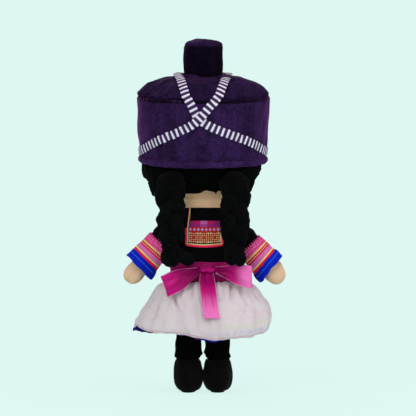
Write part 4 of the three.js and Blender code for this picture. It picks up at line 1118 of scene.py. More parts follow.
def hair_form():
    """The cap of hair: from one edge of the face round the back to the other, with its foot curved up over
    the nape. Returns the outer side and its thickness, which falls to nothing at every edge."""
    s, t = np.linspace(0, 1, 260)[None], np.linspace(0, 1, 76)[:, None]
    turn = np.radians(-90 + 360 * s)
    foot = np.where(np.sin(turn) > 0, between(NAPE, NAPE_REACH * np.cos(turn))[0], HAIR_FOOT)
    z = foot + (HAIR_TOP - foot) * t
    left, right, depth = between(HAIR_ROWS, z)
    width = np.where(s < 0.5, left, right)
    inside_face = np.clip(1 - ((z - FACE_MIDDLE) / FACE_HALF[1]) ** 2, 0, 1)
    opening = np.arcsin(np.clip(FACE_HALF[0] * np.sqrt(inside_face) / width, -1, 1))
    opening = np.where(z > FACE_MIDDLE + FACE_HALF[1], -0.05, opening)
    turn = -math.pi / 2 + opening + (TAU - 2 * opening) * s
    made = np.stack([width * np.cos(turn), depth * np.sin(turn) + HEAD_CENTRE[1], z], -1)
    edge = np.minimum(ease(s, 0, 0.05), 1 - ease(s, 0.95, 1)) ** 0.5 * ease(t, 0, 0.09) ** 0.5
    locks = np.maximum(0.6 * ripples(made * [1, 1, 0.5], 15, 41) + 0.7 * ripples(made, 40, 42), -0.7)
    locks = locks + tufts(made, 43)
    thickness = HAIR_THICKNESS * edge
    thickness[-1] = 0
    return made - outward(made, False, HEAD_CENTRE) * ((1 - edge) * 2.2 - locks * edge)[..., None], thickness


def make_hair():
    """The cap of hair over the back and sides of the head, in black plush. Its inner side lies below the
    outer by the thickness, and the two meet where that is 0."""
    face, thickness = hair_form()
    back = face - outward(face, False, HEAD_CENTRE) * thickness[..., None]
    u, v = lengths(face)
    uv = spread_uv(u, np.concatenate([v, v[::-1], v[:1]]))
    hair = sew("hair", np.concatenate([face, back[::-1]]), "belt", uv, HEAD_CENTRE)
    mend(hair, weld=True)
    # painted shade: the cap's plush is darker, as it lies under the hat's brim
    wear(hair, "hair", "head", plush("cap", 0.45))


def strand_line(side, strand, t):
    """The middle of a strand at t: from 0 at the root to 1 at the tie it weaves, sideways once while it
    goes front to back twice, and from 1 to 2 it runs on to its own loose end."""
    twined, loose = np.minimum(t, 1), np.maximum(t - 1, 0)
    turn = TAU * PLAIT_TURNS * twined + TAU * strand / 3 + 0.4
    gather = blend(1, PLAIT_GATHER, ease(twined, 0.82, 1))
    spread = ease(loose, 0, 0.8)
    out, back, _, share = TAIL_ENDS[side][strand]
    x = blend(PLAIT_SPREAD * gather * np.sin(turn), out, spread)
    y = blend(PLAIT_WEAVE * gather * np.sin(2 * turn), back, spread)
    z = blend(PLAIT_TOP, PLAIT_TOP - PLAIT_LENGTH, twined) - TAIL_LENGTH * share * loose
    return np.stack([SIDES[side] * (PLAIT_OUT + x), blend(PLAIT_BACK, TIE_BACK, twined) + y, z], -1)


def strand_form(side, strand, lump):
    """A stuffed strand: ovals square to its own line, narrow at the tie, full and round at its loose end."""
    t = np.concatenate([np.linspace(0, 1, 96, endpoint=False), np.linspace(1, 2, 46)])
    ahead = unit(strand_line(side, strand, t + 0.02) - strand_line(side, strand, t - 0.02))
    deep = unit(Y_AXIS - ahead * ahead[:, 1:2])
    loose = np.maximum(t - 1, 0)
    full = blend(1, TAIL_ENDS[side][strand][2], ease(loose, 0.05, 0.5))
    pinch = 1 - (1 - PLAIT_PINCH) * hump(t, 1, np.where(t < 1, 0.1, 0.22))
    tip = np.sqrt(np.clip(1 - (np.maximum(loose - 0.5, 0) / 0.5) ** 2.4, 0.004, 1))
    size = pinch * full * tip * (0.85 + 0.15 * ease(t, 0.0, 0.12)) * (1 + 0.12 * (1 - ease(t, 0.25, 0.5)))
    depth = blend(STRAND_HALF[1], STRAND_HALF[0], ease(loose, 0, 0.5))
    across = np.cross(ahead, deep)
    made = rings(strand_line(side, strand, t), across, deep, STRAND_HALF[0] * size, depth * size, 60)
    gathers = np.sin(7 * angles(60) + strand)[None] * hump(t, 1, 0.16)[:, None]
    return swollen(made, lump * ripples(made, 12, 50 + strand) + 0.35 * gathers + tufts(made, 57 + strand))


def make_plaits():
    """Two plaits: a puffed root, three woven strands and a tie of thread."""
    lump, black = chosen("hair").lump / MM, thread("Black thread", chosen("body").thread)
    across = PLAIT_SPREAD * PLAIT_GATHER + STRAND_HALF[0] * PLAIT_PINCH - 4.1
    deep = PLAIT_WEAVE * PLAIT_GATHER + STRAND_HALF[1] * PLAIT_PINCH - 3.3
    out = circle(60)
    for side, sign in SIDES.items():
        body = f"plait_{side}"
        root = ball((sign * (PLAIT_OUT - 0.4), PLAIT_BACK, PLAIT_TOP - 1.5), (14.2, 12.4, 13.6), 40, 72)
        turn = around(root - [sign * PLAIT_OUT, PLAIT_BACK, 0])
        gathers = 0.5 * np.sin(9 * turn) * ease(PLAIT_TOP + 4 - root[..., 2], 0, 12)
        root = swollen(root, lump * ripples(root, 15, 47) + tufts(root, 48) + gathers)
        strands = {f"strand_{side}_{strand + 1}": strand_form(side, strand, lump) for strand in range(3)}
        for name, grid in {f"root_{side}": root, **strands}.items():
            piece(f"plait_{name}", grid, "ball", body, "hair", plush("plait", 1.0), tight=0.8)
        centre = (sign * PLAIT_OUT, TIE_BACK, PLAIT_TOP - PLAIT_LENGTH)
        tie = rings(out * [across, deep, 0] + centre, out, Z_AXIS, 0.95, 1.9, 16)
        piece(f"plait_tie_{side}", tie, "torus", body, "thread", black, mended=True)


# Jacket and collar

NECK_V = (11, 154.5, 31)  # the front opening: half width, its point, and the height it opens over
NECK_REACH = 21  # how far across the torso the opening is measured, at its sides
JACKET_FOOT, JACKET_TOP = 99, 183.4
SASH = (110.4, 129.4)
COLLAR = {"left": 17.8, "right": -20.4, "foot": 143.8, "top": 183.2, "panel": (14.3, -16.9), "binding": 3.6}
PANEL_FOOT, PANEL_HEIGHT = 147.0, 23.4
FIRST_LAYER = JACKET_OUT + LAYER_GAP + TRIM  # the outer side of what lies on the jacket, above the torso
SECOND_LAYER = FIRST_LAYER + LAYER_GAP + TRIM


def jacket_form():
    """The jacket's outer side: the torso's form a little larger, cut to a point in front, with soft creases
    that run in from the shoulders."""
    turn = angles(160)[None]
    opening = NECK_V[1] + NECK_V[2] * NECK_REACH * np.abs(np.cos(turn)) / NECK_V[0]
    top = np.where(np.sin(turn) < 0, np.minimum(JACKET_TOP, opening), JACKET_TOP)
    z = JACKET_FOOT + (top - JACKET_FOOT) * np.linspace(0, 1, 70)[:, None]
    made = on_torso(turn + 0 * z, z, JACKET_OUT)
    creases = 0.45 * ripples(made * [1, 1, 1.8], 20, 61) + 0.3 * ripples(made, 9, 62)
    tied = ease(z, SASH[0] - 6, SASH[0]) * (1 - ease(z, SASH[1], SASH[1] + 6))
    return swollen(made, creases * ease(top - z, 0, 12) * (1 - 0.9 * tied) - 0.2, (0, 0, 140))


def lapel_form(sign):
    """A front band: straight up from the sash, then along the neck opening."""
    t, turns = np.linspace(0, 1, 40), [0, 0.45, 1]
    inner = np.stack([np.interp(t, turns, [0.2, 0.2, 9]), np.interp(t, turns, [129.8, 154.5, 181])], -1)
    outer = np.stack([np.interp(t, turns, [9, 9, 18]), np.interp(t, turns, [129.8, 156.5, 181])], -1)
    spread = blend(inner[:, None], outer[:, None], np.linspace(0, 1, 9)[None, :, None])
    return on_torso_at(sign * spread[..., 0], spread[..., 1], FIRST_LAYER, back=False)


def on_collar(x, z, out):
    """A place on the back, raised a little where the collar's foot curves up to its corners."""
    bow = 1.9 * ((x + 1.4) / 19) ** 2 * (1 - ease(z, COLLAR["foot"], COLLAR["foot"] + 22))
    return on_torso_at(x, z + bow, out)


def on_back(left, right, foot, top, out, columns=40, rows=40):
    """A patch of the back: `left` may be a row of places, one for each height."""
    z = np.linspace(top, foot, rows)[:, None]
    x = blend(np.reshape(left, (-1, 1)), right, np.linspace(0, 1, columns)[None])
    return on_collar(x, z + 0 * x, out)


def binding_width(z):
    """The tape is folded to its full width low down, and to a narrow piping above."""
    return COLLAR["binding"] * (1 - 0.57 * ease(z, 162, 164.5))


def collar_edge(z):
    """The collar's left edge: it runs in as it climbs, and where the tape becomes narrow."""
    return COLLAR["left"] - 1.9 * ease(z, 163, 184) - (COLLAR["binding"] - binding_width(z))


def binding_form(out):
    """Tape folded over the collar's edge: down the left side, along the foot and up the right side."""
    left, right = COLLAR["left"], COLLAR["right"]
    foot, top, corner = COLLAR["foot"] + 0.1, COLLAR["top"], 2.2
    turn = np.linspace(0, math.pi / 2, 8)[1:]
    c, s = corner * np.cos(turn), corner * np.sin(turn)
    fall = np.linspace(top, foot + corner, 30)
    level, climb = np.linspace(left - corner, right + corner, 30)[1:], np.linspace(foot + corner, 164, 22)[1:]
    x = [collar_edge(fall), left - corner + c, level, right + corner - s, right + 0 * climb]
    z = [fall, foot + corner - s, foot + 0 * level, foot + corner - c, climb]
    line = np.stack([np.concatenate(x), np.concatenate(z)], -1)
    ahead = unit(np.gradient(line, axis=0))
    inward = np.stack([ahead[:, 1], -ahead[:, 0]], -1)
    share = np.linspace(0, 1, 13)
    width = binding_width(line[:, 1])[:, None]
    flat = line[:, None] + inward[:, None] * (share * width)[..., None]
    fold, piping = (np.sin(np.clip(v, 0, 1) * math.pi) ** 0.5 for v in (share / 0.72, (share - 0.72) / 0.28))
    swell = np.maximum(0.55 * fold, 0.4 * piping)
    reach = 1 - (1 - share) * (width / COLLAR["binding"]) ** 0.5
    uv = np.stack(np.broadcast_arrays(lengths(flat)[1][:, None] / 10, reach), -1)
    return on_collar(flat[..., 0], flat[..., 1], out + swell), uv


def make_jacket():
    """Black cotton jacket with a pointed neck, and the blue bands down its front."""
    grid, cotton, middle = jacket_form(), black_cotton(), (0, 0, 140)
    sheet("jacket", grid, "tube", "torso", "jacket", cotton, 1.1, "stretched", ["torso"], inside=middle)
    for side, sign in SIDES.items():
        name, grid, finish = f"lapel_{side}", lapel_form(sign), blue_cloth()
        sheet(name, grid, "patch", "torso", "cuff", finish, TRIM, "laid", ["jacket"], inside=(0, 0, 150))


def make_collar():
    """The square collar on the back: black cloth, an embroidered panel, and a folded tape round it."""
    middle = (0, 0, 160)
    edge = collar_edge(np.linspace(COLLAR["top"], COLLAR["foot"], 40))
    grid = on_back(edge, COLLAR["right"], COLLAR["foot"], COLLAR["top"], FIRST_LAYER)
    cloth = piece("collar_cloth", grid, "patch", "torso", "jacket", black_cotton(), TRIM, inside=middle)
    left, right = COLLAR["panel"]
    panel = on_back(left, right, PANEL_FOOT, PANEL_FOOT + PANEL_HEIGHT, SECOND_LAYER - 0.15, 60, 50)
    uv = spread_uv(np.linspace(0, left - right, 60), np.linspace(0, PANEL_HEIGHT, 50))
    sewn, finish, beneath = {"uv": uv, "inside": middle}, embroidery(), ["collar_cloth"]
    sheet("collar_panel", panel, "patch", "torso", "embroidery", finish, TRIM, "laid", beneath, **sewn)
    tape_grid, uv = binding_form(SECOND_LAYER - 0.2)
    finish = binding_tape()
    tape = piece("collar_binding", tape_grid, "patch", "torso", "banding", finish, 1.2, uv=uv, inside=middle)
    lay(grid, "laid", ["jacket"])


# Sleeves, cuffs and hands

SHOULDER_OUT, SLEEVE_LENGTH, SHOULDER_RADIUS = 34, 47.5, 12.6
ARM_SIDES = {  # degrees from straight down: the arm, the cuff's end, the hand; the hand's length and width
    "left": (39.5, 45, 40.5, 1.11, 0.92),
    "right": (41.5, 50, 45, 1.27, 1.01),
}
SLEEVES = {"left": (14.2, 36.6, 47.0), "right": (19.2, 41.2, 51.0)}  # along the arm: trim, cuff, its end
SLEEVE_FROM, SLEEVE_TOP, SLEEVE_END, SLEEVE_CLOTH = 15.6, 13.9, 16.8, 1.1
PINKING_TEETH, BAND_RADIUS = 32, 15.5  # the banded trim: its teeth, and the radius that its map is made for
ARM_ROWS = [  # along the arm, radius
    (2, 8.6), (20, 9.4), (40, 9.4), (46, 9.5), (49.5, 10.4), (53.5, 10.9), (57.5, 10.1), (61, 7.7),
    (63.2, 4.2), (63.9, 1.1),
]


def arm_rings(side, along, radius, sides, flat=0.96):
    """Ovals along an arm: their centres run out from the shoulder, and their planes turn towards the cuff's
    end as they go. `along` may be a grid, which gives a wavy edge."""
    sign = SIDES[side]
    hang, cuff, hand = ARM_SIDES[side][:3]
    along, radius = (np.reshape(v, (len(v), -1)) + np.zeros(sides) for v in (along, radius))

    def heading(degrees):
        angle = np.radians(degrees)
        return np.stack([sign * np.sin(angle), 0 * angle, -np.cos(angle)], -1)

    base = along.mean(1, keepdims=True)
    turned = hang + (cuff - hang) * ease(base, 10, SLEEVE_LENGTH)
    beyond = np.maximum(base - SLEEVE_LENGTH, 0)
    centre = np.array([sign * SHOULDER_OUT, 0, SHOULDER_Z])
    centre = centre + heading(hang + 0 * base) * (base - beyond)[..., None]
    centre = centre + heading(hand + 0 * base) * beyond[..., None]
    turn = angles(sides)[None]
    made = centre + heading(turned + 90) * (radius * np.cos(turn))[..., None]
    made = made + Y_AXIS * (radius * flat * np.sin(turn))[..., None]
    return made + heading(turned) * (along - base)[..., None]


def sleeve_radius(along):
    """The radius under a sleeve's cloth: from SLEEVE_TOP to SLEEVE_END in a straight line along the arm."""
    share = (along - SLEEVE_FROM) / (SLEEVE_LENGTH - SLEEVE_FROM)
    return blend(SLEEVE_TOP, SLEEVE_END, share) - SLEEVE_CLOTH - LAYER_GAP


def teeth(sides):
    """A zigzag round the sleeve, from -1 to 1."""
    at = PINKING_TEETH * np.arange(sides) / sides
    return 4 * np.abs(at - np.floor(at + 0.5)) - 1


def sleeve_form(side):
    """A sleeve: round over the shoulder, and wrinkled down to where its trim begins."""
    start, cuff_start = SLEEVES[side][:2]
    along, widest = np.linspace(-7, cuff_start + 4, 60), SHOULDER_RADIUS + 0.9
    round_top = np.sqrt(np.maximum(widest**2 - np.minimum(along, 0) ** 2, 1))
    radius = np.where(along < 0, round_top, np.minimum(sleeve_radius(along) + 0.4, widest))
    radius = np.where(along > start - 3, sleeve_radius(along) - 0.1, radius)
    radius = np.convolve(np.pad(radius, 3, mode="edge"), np.ones(7) / 7, "valid")
    made = arm_rings(side, along, radius, 72)
    free = ease(along, -2, 4) * (1 - ease(along, start - 2, start + 2))
    return swollen(made, 0.55 * ripples(made, 12, 71) * free[:, None])


def trim_band_form(side, pinking):
    """The banded trim with its zigzag edge, and its map."""
    start, cuff_start = SLEEVES[side][:2]
    sides = PINKING_TEETH * 8
    t = np.linspace(0, 1, 34)[:, None]
    along = start + (cuff_start + 0.6 - start) * t + teeth(sides) * pinking * (1 - ease(t, 0, 0.35))
    made = arm_rings(side, along, sleeve_radius(along) + LAYER_GAP + 1.1, sides)
    edge = np.concatenate([along, along[:, :1]], 1) - start
    uv = spread_uv(TAU * BAND_RADIUS * np.arange(sides + 1) / sides, edge)
    return swollen(made, 0.28 * ripples(made, 15, 73)), uv


def cuff_form(side):
    """A cuff of folded cloth: up outside, round its end, and back inside, a little wavy."""
    _, start, end = SLEEVES[side]
    along = np.concatenate([np.linspace(start, end, 22), np.linspace(end, start + 1, 16)[1:]])
    share = np.linspace(0, 1, 22)
    swell = 1.35 + 0.5 * np.sin(math.pi * share) ** 0.7 + 0.9 * share**2
    out = np.concatenate([swell, np.full(len(along) - len(swell), -1.0)])
    made = arm_rings(side, along, sleeve_radius(along) + LAYER_GAP + out, 72)
    turn = angles(72)
    wave = 0.55 * np.sin(3 * turn + 0.6) + 0.3 * np.sin(5 * turn + 2)
    made[..., 2] -= wave * ease(along, start + 2, end)[:, None]
    return swollen(made, 0.3 * ripples(made, 13, 75))


def make_sleeves():
    """Black sleeves with their pinked, banded trim and the blue cuffs."""
    pinking = chosen("clothes").pinking / MM
    for side, sign in SIDES.items():
        shoulder, arm, sleeve = f"shoulder_{side}", f"arm_{side}", f"sleeve_{side}"
        cap = ball((sign * SHOULDER_OUT, 0, SHOULDER_Z), (SHOULDER_RADIUS,) * 3, 24, 48)
        piece(shoulder, cap, "ball", shoulder, "jacket", black_cotton(), tight=0.7)
        grid, cotton = sleeve_form(side), black_cotton()
        sheet(sleeve, grid, "tube", arm, "jacket", cotton, SLEEVE_CLOTH, "gathered", [arm])
        (grid, uv), finish = trim_band_form(side, pinking), sleeve_banding()
        sheet(f"sleeve_band_{side}", grid, "tube", arm, "banding", finish, 1.0, "laid", [sleeve], uv=uv)
        grid, finish = cuff_form(side), blue_cloth()
        sheet(f"cuff_{side}", grid, "tube", arm, "cuff", finish, 0, "folded", [sleeve], mended=True)


def make_hands():
    """Linen arms that end in stuffed mitts, each with a sewn line across its end."""
    for side in SIDES:
        along, radius = through(ARM_ROWS, 70).T
        stretch, slim = ARM_SIDES[side][3:]
        radius = radius * blend(1, slim, ease(along, 44, 50))
        along = along + np.maximum(along - SLEEVE_LENGTH, 0) * (stretch - 1)
        grid = arm_rings(side, along, radius, 120, 0.9)
        beyond = ease(along, SLEEVES[side][2], SLEEVES[side][2] + 3)[:, None]
        turn, seam_at = angles(120), math.pi / 2 - (0.1 if side == "left" else 0.55)
        seam = -0.75 * hump(turn, seam_at, 0.075) * beyond
        puckers = 0.22 * np.sin(along * 2.4)[:, None] * hump(turn, seam_at, 0.26) * beyond
        grid = swollen(grid, 0.3 * ripples(grid, 12, 81) + seam + puckers)
        piece(f"arm_{side}", grid, "ball", f"arm_{side}", "linen", linen(), tight=0.7)


# Sash and bow

KNOT_MIDDLE, KNOT_HALF = np.array([-4.6, 28.75, 122.2]), (8.4, 3.5, 3.0)
LOOP_GAP = 5.0
BOW = {  # each loop: degrees below level, out from the back, its end's lean; length, half width, where wide
    "left": (22, 28, 19, 41.5, 10.8, 0.75),
    "right": (10.5, 21, 0, 38.5, 10.9, 0.8),
}
BOW_PAINTED_LIGHT = {"left": (0.06, 0.5, 0.3, 1), "right": (0.1, 0.94, 0.2, 0.9)}  # least and most painted light, and where it rises
RIBBON, RIBBON_WIDTH = 0.7, 19
TAIL_ROWS = [  # height, how far back, place across
    (118.5, 28.2, -3.7), (111, 33.5, -4.2), (104, 42, -5), (96, 47.8, -6), (86, 51.6, -7.2),
    (75.4, 54.2, -8.8),
]
TAIL_HALF_WIDTH = 7.8


def paint_light_and_shade(made, grid, share):
    """Stores on each point the ribbon's painted light: from 0, painted shade in its folds and under the
    bow, to 1, a painted highlight. A share for each row.
    """
    values = np.full(len(made.data.vertices), 0.5)
    rows, columns = grid.shape[:2]
    values[: rows * columns] = np.repeat(np.broadcast_to(share, rows), columns)
    made.data.attributes.new("PaintedLight", "FLOAT", "POINT").data.foreach_set("value", values)


def ribbon(name, grid, body, share, held, rests_on, form="patch", uv=None, inside=None):
    """A sheet of satin ribbon. Its map is the full width across, however it is pleated, by its length."""
    if uv is None:
        uv = spread_uv(np.linspace(0, RIBBON_WIDTH, grid.shape[1]), lengths(grid)[1])
    made = sheet(name, grid, form, body, "ribbon", satin(), RIBBON, held, rests_on, uv=uv, inside=inside)
    # `share` is the ribbon's painted light and shade, row by row
    paint_light_and_shade(made, grid, share)


def loop_form(side):
    """A loop of ribbon: out from the knot and back under itself, narrow and pleated where the knot holds
    it and flat at its full width further out. Returns it and how far out each row lies, from 0 to 1."""
    sign = SIDES[side]
    droop, swing, lean = np.radians(BOW[side][:3])
    length, half_width, wide = BOW[side][3:]
    level = math.cos(droop)
    out = np.array([sign * level * math.cos(swing), level * math.sin(swing), -math.sin(droop)])
    up = np.array([sign * math.sin(lean), 0, math.cos(lean)])
    thick = unit(np.cross(up, out))
    foot = KNOT_MIDDLE + X_AXIS * sign * (KNOT_HALF[0] - 1.2)
    turn, across = np.linspace(0.0, TAU, 90)[:, None], np.linspace(-1, 1, 33)
    far = (1 - np.cos(turn)) / 2
    gap = LOOP_GAP * np.sin(turn) * (0.35 + 0.65 * far)
    half = blend(2.8, half_width, ease(far, -0.12, wide))
    centre = foot + out * (1 + length * far) + thick * gap
    pleats = 1.25 * np.cos(across * 9.5 + 0.4) * (np.exp(-far / 0.3) + 0.08)
    creases = 0.8 * np.sin(across * 4 + far * 8 + sign) * (far * (1 - far) * 4)
    curl = -0.9 * across**2 * np.sin(turn / 2) * np.sign(np.sin(turn))
    made = centre[:, None] + up * (half * across)[..., None]
    return made + thick * (pleats + creases + curl)[..., None], far[:, 0]


def tail_form():
    """The hanging end of the ribbon: folded at the knot, and curled at its edges further down."""
    z, back, x = through(TAIL_ROWS, 60).T
    share, across = np.linspace(0, 1, 60)[:, None], np.linspace(-1, 1, 19)
    half = TAIL_HALF_WIDTH * (0.86 + 0.14 * ease(share, 0, 0.25))
    folds = 0.8 * np.cos(across * 7) * (1 - ease(share, 0, 0.45))
    curl = -0.9 * across**2 * ease(share, 0.3, 1)
    made = np.stack(np.broadcast_arrays(x[:, None] + half * across, back[:, None], z[:, None]), -1)
    slope = unit(np.gradient(np.stack([back, z], -1), axis=0))
    normal = np.stack([0 * back, -slope[:, 1], slope[:, 0]], -1)
    return made + normal[:, None] * (folds + curl + 0.9)[..., None]


def knot_form():
    """The bow's knot: squarish ovals along X, smaller at both ends, with slanting folds."""
    share = np.linspace(-1, 1, 30)
    size = 1 - np.abs(share) ** 5 * 0.55
    middle = KNOT_MIDDLE + np.outer(share * KNOT_HALF[0], X_AXIS)
    made = rings(middle, Y_AXIS, Z_AXIS, KNOT_HALF[1] * size, KNOT_HALF[2] * size, 40, 2.5)
    return swollen(made, 0.4 * np.sin(share[:, None] * 6 + 2 * angles(40)) + 0.2 * ripples(made, 6, 92))


def make_sash():
    """Magenta satin: the sash round the waist, and the bow's knot, two loops and hanging tail, each with
    its painted light and shade.
    """
    turn, t = angles(150)[None], np.linspace(0, 1, 20)[:, None]
    z = blend(*SASH, t)
    grid = on_torso(turn + 0 * z, z + 0 * turn, JACKET_OUT + LAYER_GAP + RIBBON)
    folds = 0.35 * np.sin(3 * TAU * t + 1.5 * np.sin(2 * turn)) + 0.3 * ripples(grid, 14, 91)
    grid = swollen(grid, folds, (0, 0, 120))
    uv = spread_uv(*lengths(grid, "tube"))[..., ::-1] * [0.85, 1] + [0.14, 0]
    # painted shade: the sash is deep all round, as under the bow
    ribbon("sash", grid, "torso", 0.2, "stretched", ["jacket"], "tube", uv, (0, 0, 120))
    grid = knot_form()
    uv = spread_uv(*lengths(grid, "ball")) * 0.6 + 0.3
    # painted light: the knot lies between deep and full colour
    paint_light_and_shade(piece("bow_knot", grid, "ball", "torso", "ribbon", satin(), tight=0.7, uv=uv), grid, 0.36)
    for side in SIDES:
        grid, far = loop_form(side)
        low, high, start, end = BOW_PAINTED_LIGHT[side]
        # painted shade near the knot, and a painted highlight further out on each loop
        share = blend(low, high, ease(far, start, end))
        ribbon(f"bow_loop_{side}", grid, "torso", share, "folded", ["bow_knot"])
    grid = tail_form()
    # painted shade at the tail's top, under the knot, and a painted highlight low down where it turns up
    share = blend(0.12, 0.96, ease(np.linspace(0, 1, len(grid)), 0.05, 1))
    ribbon("bow_tail", grid, "bow_tail", share, "hung", ["bow_knot"], inside=(0, 0, 90))


# Skirt and underskirt

SKIRT_ROWS = [  # height, half width at the left and at the right, half depth
    (109.8, 33.5, 33.5, 25), (108, 40, 45, 31), (104, 46.5, 53, 38), (97, 50.5, 59, 43.5),
    (88, 55, 64.5, 48), (77, 60.5, 67.8, 51), (67, 65.8, 68.2, 52), (61.5, 67, 66.4, 51.4),
    (59.5, 66.8, 64.6, 50.4),
]
HEM_LINE = [  # across, height of the hem at the back, and how far the underskirt shows below it
    (67, 65.6, 1.0), (61, 63.5, 2.4), (54, 61.4, 2.6), (48, 61.2, 0.6), (35, 59.6, 0.6), (28, 59.3, 0.8),
    (16, 58.9, 1.4), (2, 55.8, 2.4), (-6, 54.2, 2.6), (-14, 53.4, 2.2), (-25, 54.2, 0.8), (-37, 55.2, 0.6),
    (-54, 57.2, 0.8), (-63, 59.6, 0.8), (-67, 62.5, 0.6),
]
SKIRT_CLOTH, SKIRT_DROP = 1.3, 50  # its cloth, and its height from waist to hem
BACK_FOLDS = [  # place across at the top and the foot, heights it runs between, depth, half width
    (-27, -28.5, 110, 92, 6.0, 1.9), (-34, -40, 110, 90, 3.4, 2.2), (-46, -57, 98, 66, 2.2, 4.5),
    (-12, -16, 84, 54, 3.4, 3.2), (31, 25, 106, 82, 5.6, 2.2), (14, 6, 112, 62, 5.4, 5.0),
    (-4, -6, 98, 60, 3.2, 5.0), (40, 51, 106, 70, 2.4, 4.2), (-18, -20, 112, 94, 2.0, 2.0),
]
FOLD_DEPTH = 2.6  # the setting that BACK_FOLDS were measured at


def skirt_form(depth):
    """The skirt's outer side, from waist to hem: oval rings that balloon out, fine gathers that fade below
    the waist, long folds, and the deep folds of the back."""
    turn = angles(300)[None]
    z, left, right, back = (v[:, None] for v in through(SKIRT_ROWS, 90).T)
    c, s = np.cos(turn), np.sin(turn)
    made = np.stack([np.where(c > 0, left, right) * c, back * s, z + 0 * turn], -1)
    across = made[..., 0]
    fall = (SKIRT_ROWS[0][0] - z) / SKIRT_DROP
    gathers = np.sin(34 * turn + 2.5 * np.sin(3 * turn)) + 0.6 * np.sin(55 * turn + 1.3 * np.sin(5 * turn))
    amount = 0.75 * gathers * ease(fall, 0, 0.06) * np.exp(-fall / 0.3)
    long = 0.6 * np.cos(9 * turn + 0.6) + 0.5 * np.cos(14 * turn + 1.2 * np.sin(2 * turn))
    long += 0.35 * np.cos(5 * turn + 1.1)
    amount = amount + depth * blend(0.42, 0.2, ease(s, 0, 0.5)) * long * ease(fall, 0.05, 0.7)
    creases = 0.7 * ripples(made * [1, 1, 0.6], 19, 101) + 0.25 * ripples(made, 8, 102)
    amount = amount + creases * ease(fall, 0.05, 0.35)
    for top, foot, high, low, groove, half in BACK_FOLDS:
        share = np.clip((high - z) / (high - low), 0, 1)
        middle = blend(top, foot, share)
        window = np.sin(math.pi * np.clip(share * 0.96 + 0.04, 0, 1)) ** 0.7 * (share < 1)
        line = hump(across, middle, half) - 0.45 * hump(across, middle, 2.4 * half)
        amount = amount - depth / FOLD_DEPTH * groove * line * window * (s > 0.1)
    made = swollen(made, amount, (0, 0, 85))
    hem = between(HEM_LINE, made[..., 0])[0] - SKIRT_ROWS[-1][0]
    wave = 0.4 * np.sin(7 * turn) * ease(fall, 0.7, 1)
    made[..., 2] += hem * ease(fall, 0.35, 1) * ease(s, -0.25, 0.1) + wave
    return made


def from_hem(grid):
    """A tube's map in cm, with v measured up from its lower edge."""
    u, v = lengths(grid, "tube")
    return spread_uv(u, v[-1] - v)


def make_skirt():
    """White gathered skirt, and the coloured underskirt that shows below its hem."""
    grid, middle = skirt_form(chosen("clothes").fold_depth / MM), (0, 0, 85)
    sewn, beneath = {"uv": from_hem(grid), "inside": middle}, ["sash", "torso"]
    cotton = white_cotton()
    sheet("skirt", grid, "tube", "torso", "cotton", cotton, SKIRT_CLOTH, "gathered", beneath, **sewn)
    inner = (grid - outward(grid, True, middle) * (SKIRT_CLOTH + LAYER_GAP))[-22:]
    turn = angles(grid.shape[1])
    shown = between(HEM_LINE, grid[-1, :, 0])[1]
    below = np.maximum(blend(1.6 + np.sin(9 * turn), shown, np.sin(turn) > -0.1), 0.4)[:, None]
    drop = np.linspace(0, 1, 6)[1:, None, None]
    under = np.concatenate([inner, inner[-1:] - drop * below * Z_AXIS])
    sewn, finish = {"uv": from_hem(under), "inside": (0, 0, 70)}, underskirt_print()
    sheet("underskirt", under, "tube", "torso", "underskirt", finish, TRIM, "hung", ["skirt"], **sewn)


# Legs and shoes

LEG_OUT, LEG_BACK = 14.6, 6
LEG_ROWS = [  # height, radius
    (23, 3.6), (25.6, 7.5), (29.3, 10), (33, 10.6), (41, 10.8), (72, 11), (83.7, 11), (90, 12.6),
    (96.3, 11), (100.3, 7.2), (102.3, 2.5),
]
LEGGING, LEGGING_RADIUS = (32.0, 72), 12.8
INNER_HEM = {"left": 2.6, "right": 4.6}  # how far the leggings ride up at the inner side of the ankle
SHOE_ROWS = [  # height, half width, heel, toe
    (0.8, 7.4, 13.4, 23.4), (1.7, 9.4, 15.4, 25.8), (3.2, 11.2, 17.2, 28.2), (5.2, 12.6, 18.7, 30.1),
    (8.2, 13.9, 19.9, 31.4), (12.6, 14.7, 20.4, 31.2), (17.4, 14.9, 20.1, 28.6), (22.2, 14.6, 18.6, 23),
    (26.8, 13.8, 16.6, 18), (30.2, 12.8, 14.9, 15), (32.6, 11.3, 12.8, 12.8),
]
SOLE_ROWS = [(0.0, 6.9, 13.0, 23.0), (0.3, 7.2, 13.3, 23.3), (1.0, 7.2, 13.3, 23.3), (1.5, 6.2, 12.3, 22.3)]


def foot_rings(sign, rows):
    """Squarish ovals at rows of height, half width, and reach back to the heel and forward to the toe."""
    z, half, heel, toe = np.asarray(rows, float).T
    middle = np.stack([np.full(len(z), sign * LEG_OUT), LEG_BACK + (heel - toe) / 2, z], -1)
    return rings(middle, X_AXIS, Y_AXIS, half, (heel + toe) / 2, 72, 2.2)


def legging_form(side):
    """A legging: turned in at its hem, which rides up at the inner ankle, and sagging in soft rings."""
    sign, (foot, top) = SIDES[side], LEGGING
    z = np.concatenate([np.linspace(foot + 1.2, foot, 4)[:-1], np.linspace(foot, top, 50)])
    radius = LEGGING_RADIUS + 0.8 * hump(z, foot + 3.8, 2.4) - 2.6 * hump(z, foot, 1.5)
    centre = np.array([sign * LEG_OUT, LEG_BACK, 0])
    made = rings(np.outer(z, Z_AXIS) + centre, X_AXIS, Y_AXIS, radius, radius, 64)
    inner_side = np.maximum(-sign * np.cos(angles(64)), 0) ** 6
    made[..., 2] += inner_side * INNER_HEM[side] * (1 - ease(z, foot, foot + 14))[:, None]
    sags = 0.45 * np.sin(made[..., 2] / 6.5 + 2 * sign) + 0.35 * ripples(made, 11, 111)
    return swollen(made, sags * ease(made[..., 2], foot, foot + 6), centre + [0, 0, 50])


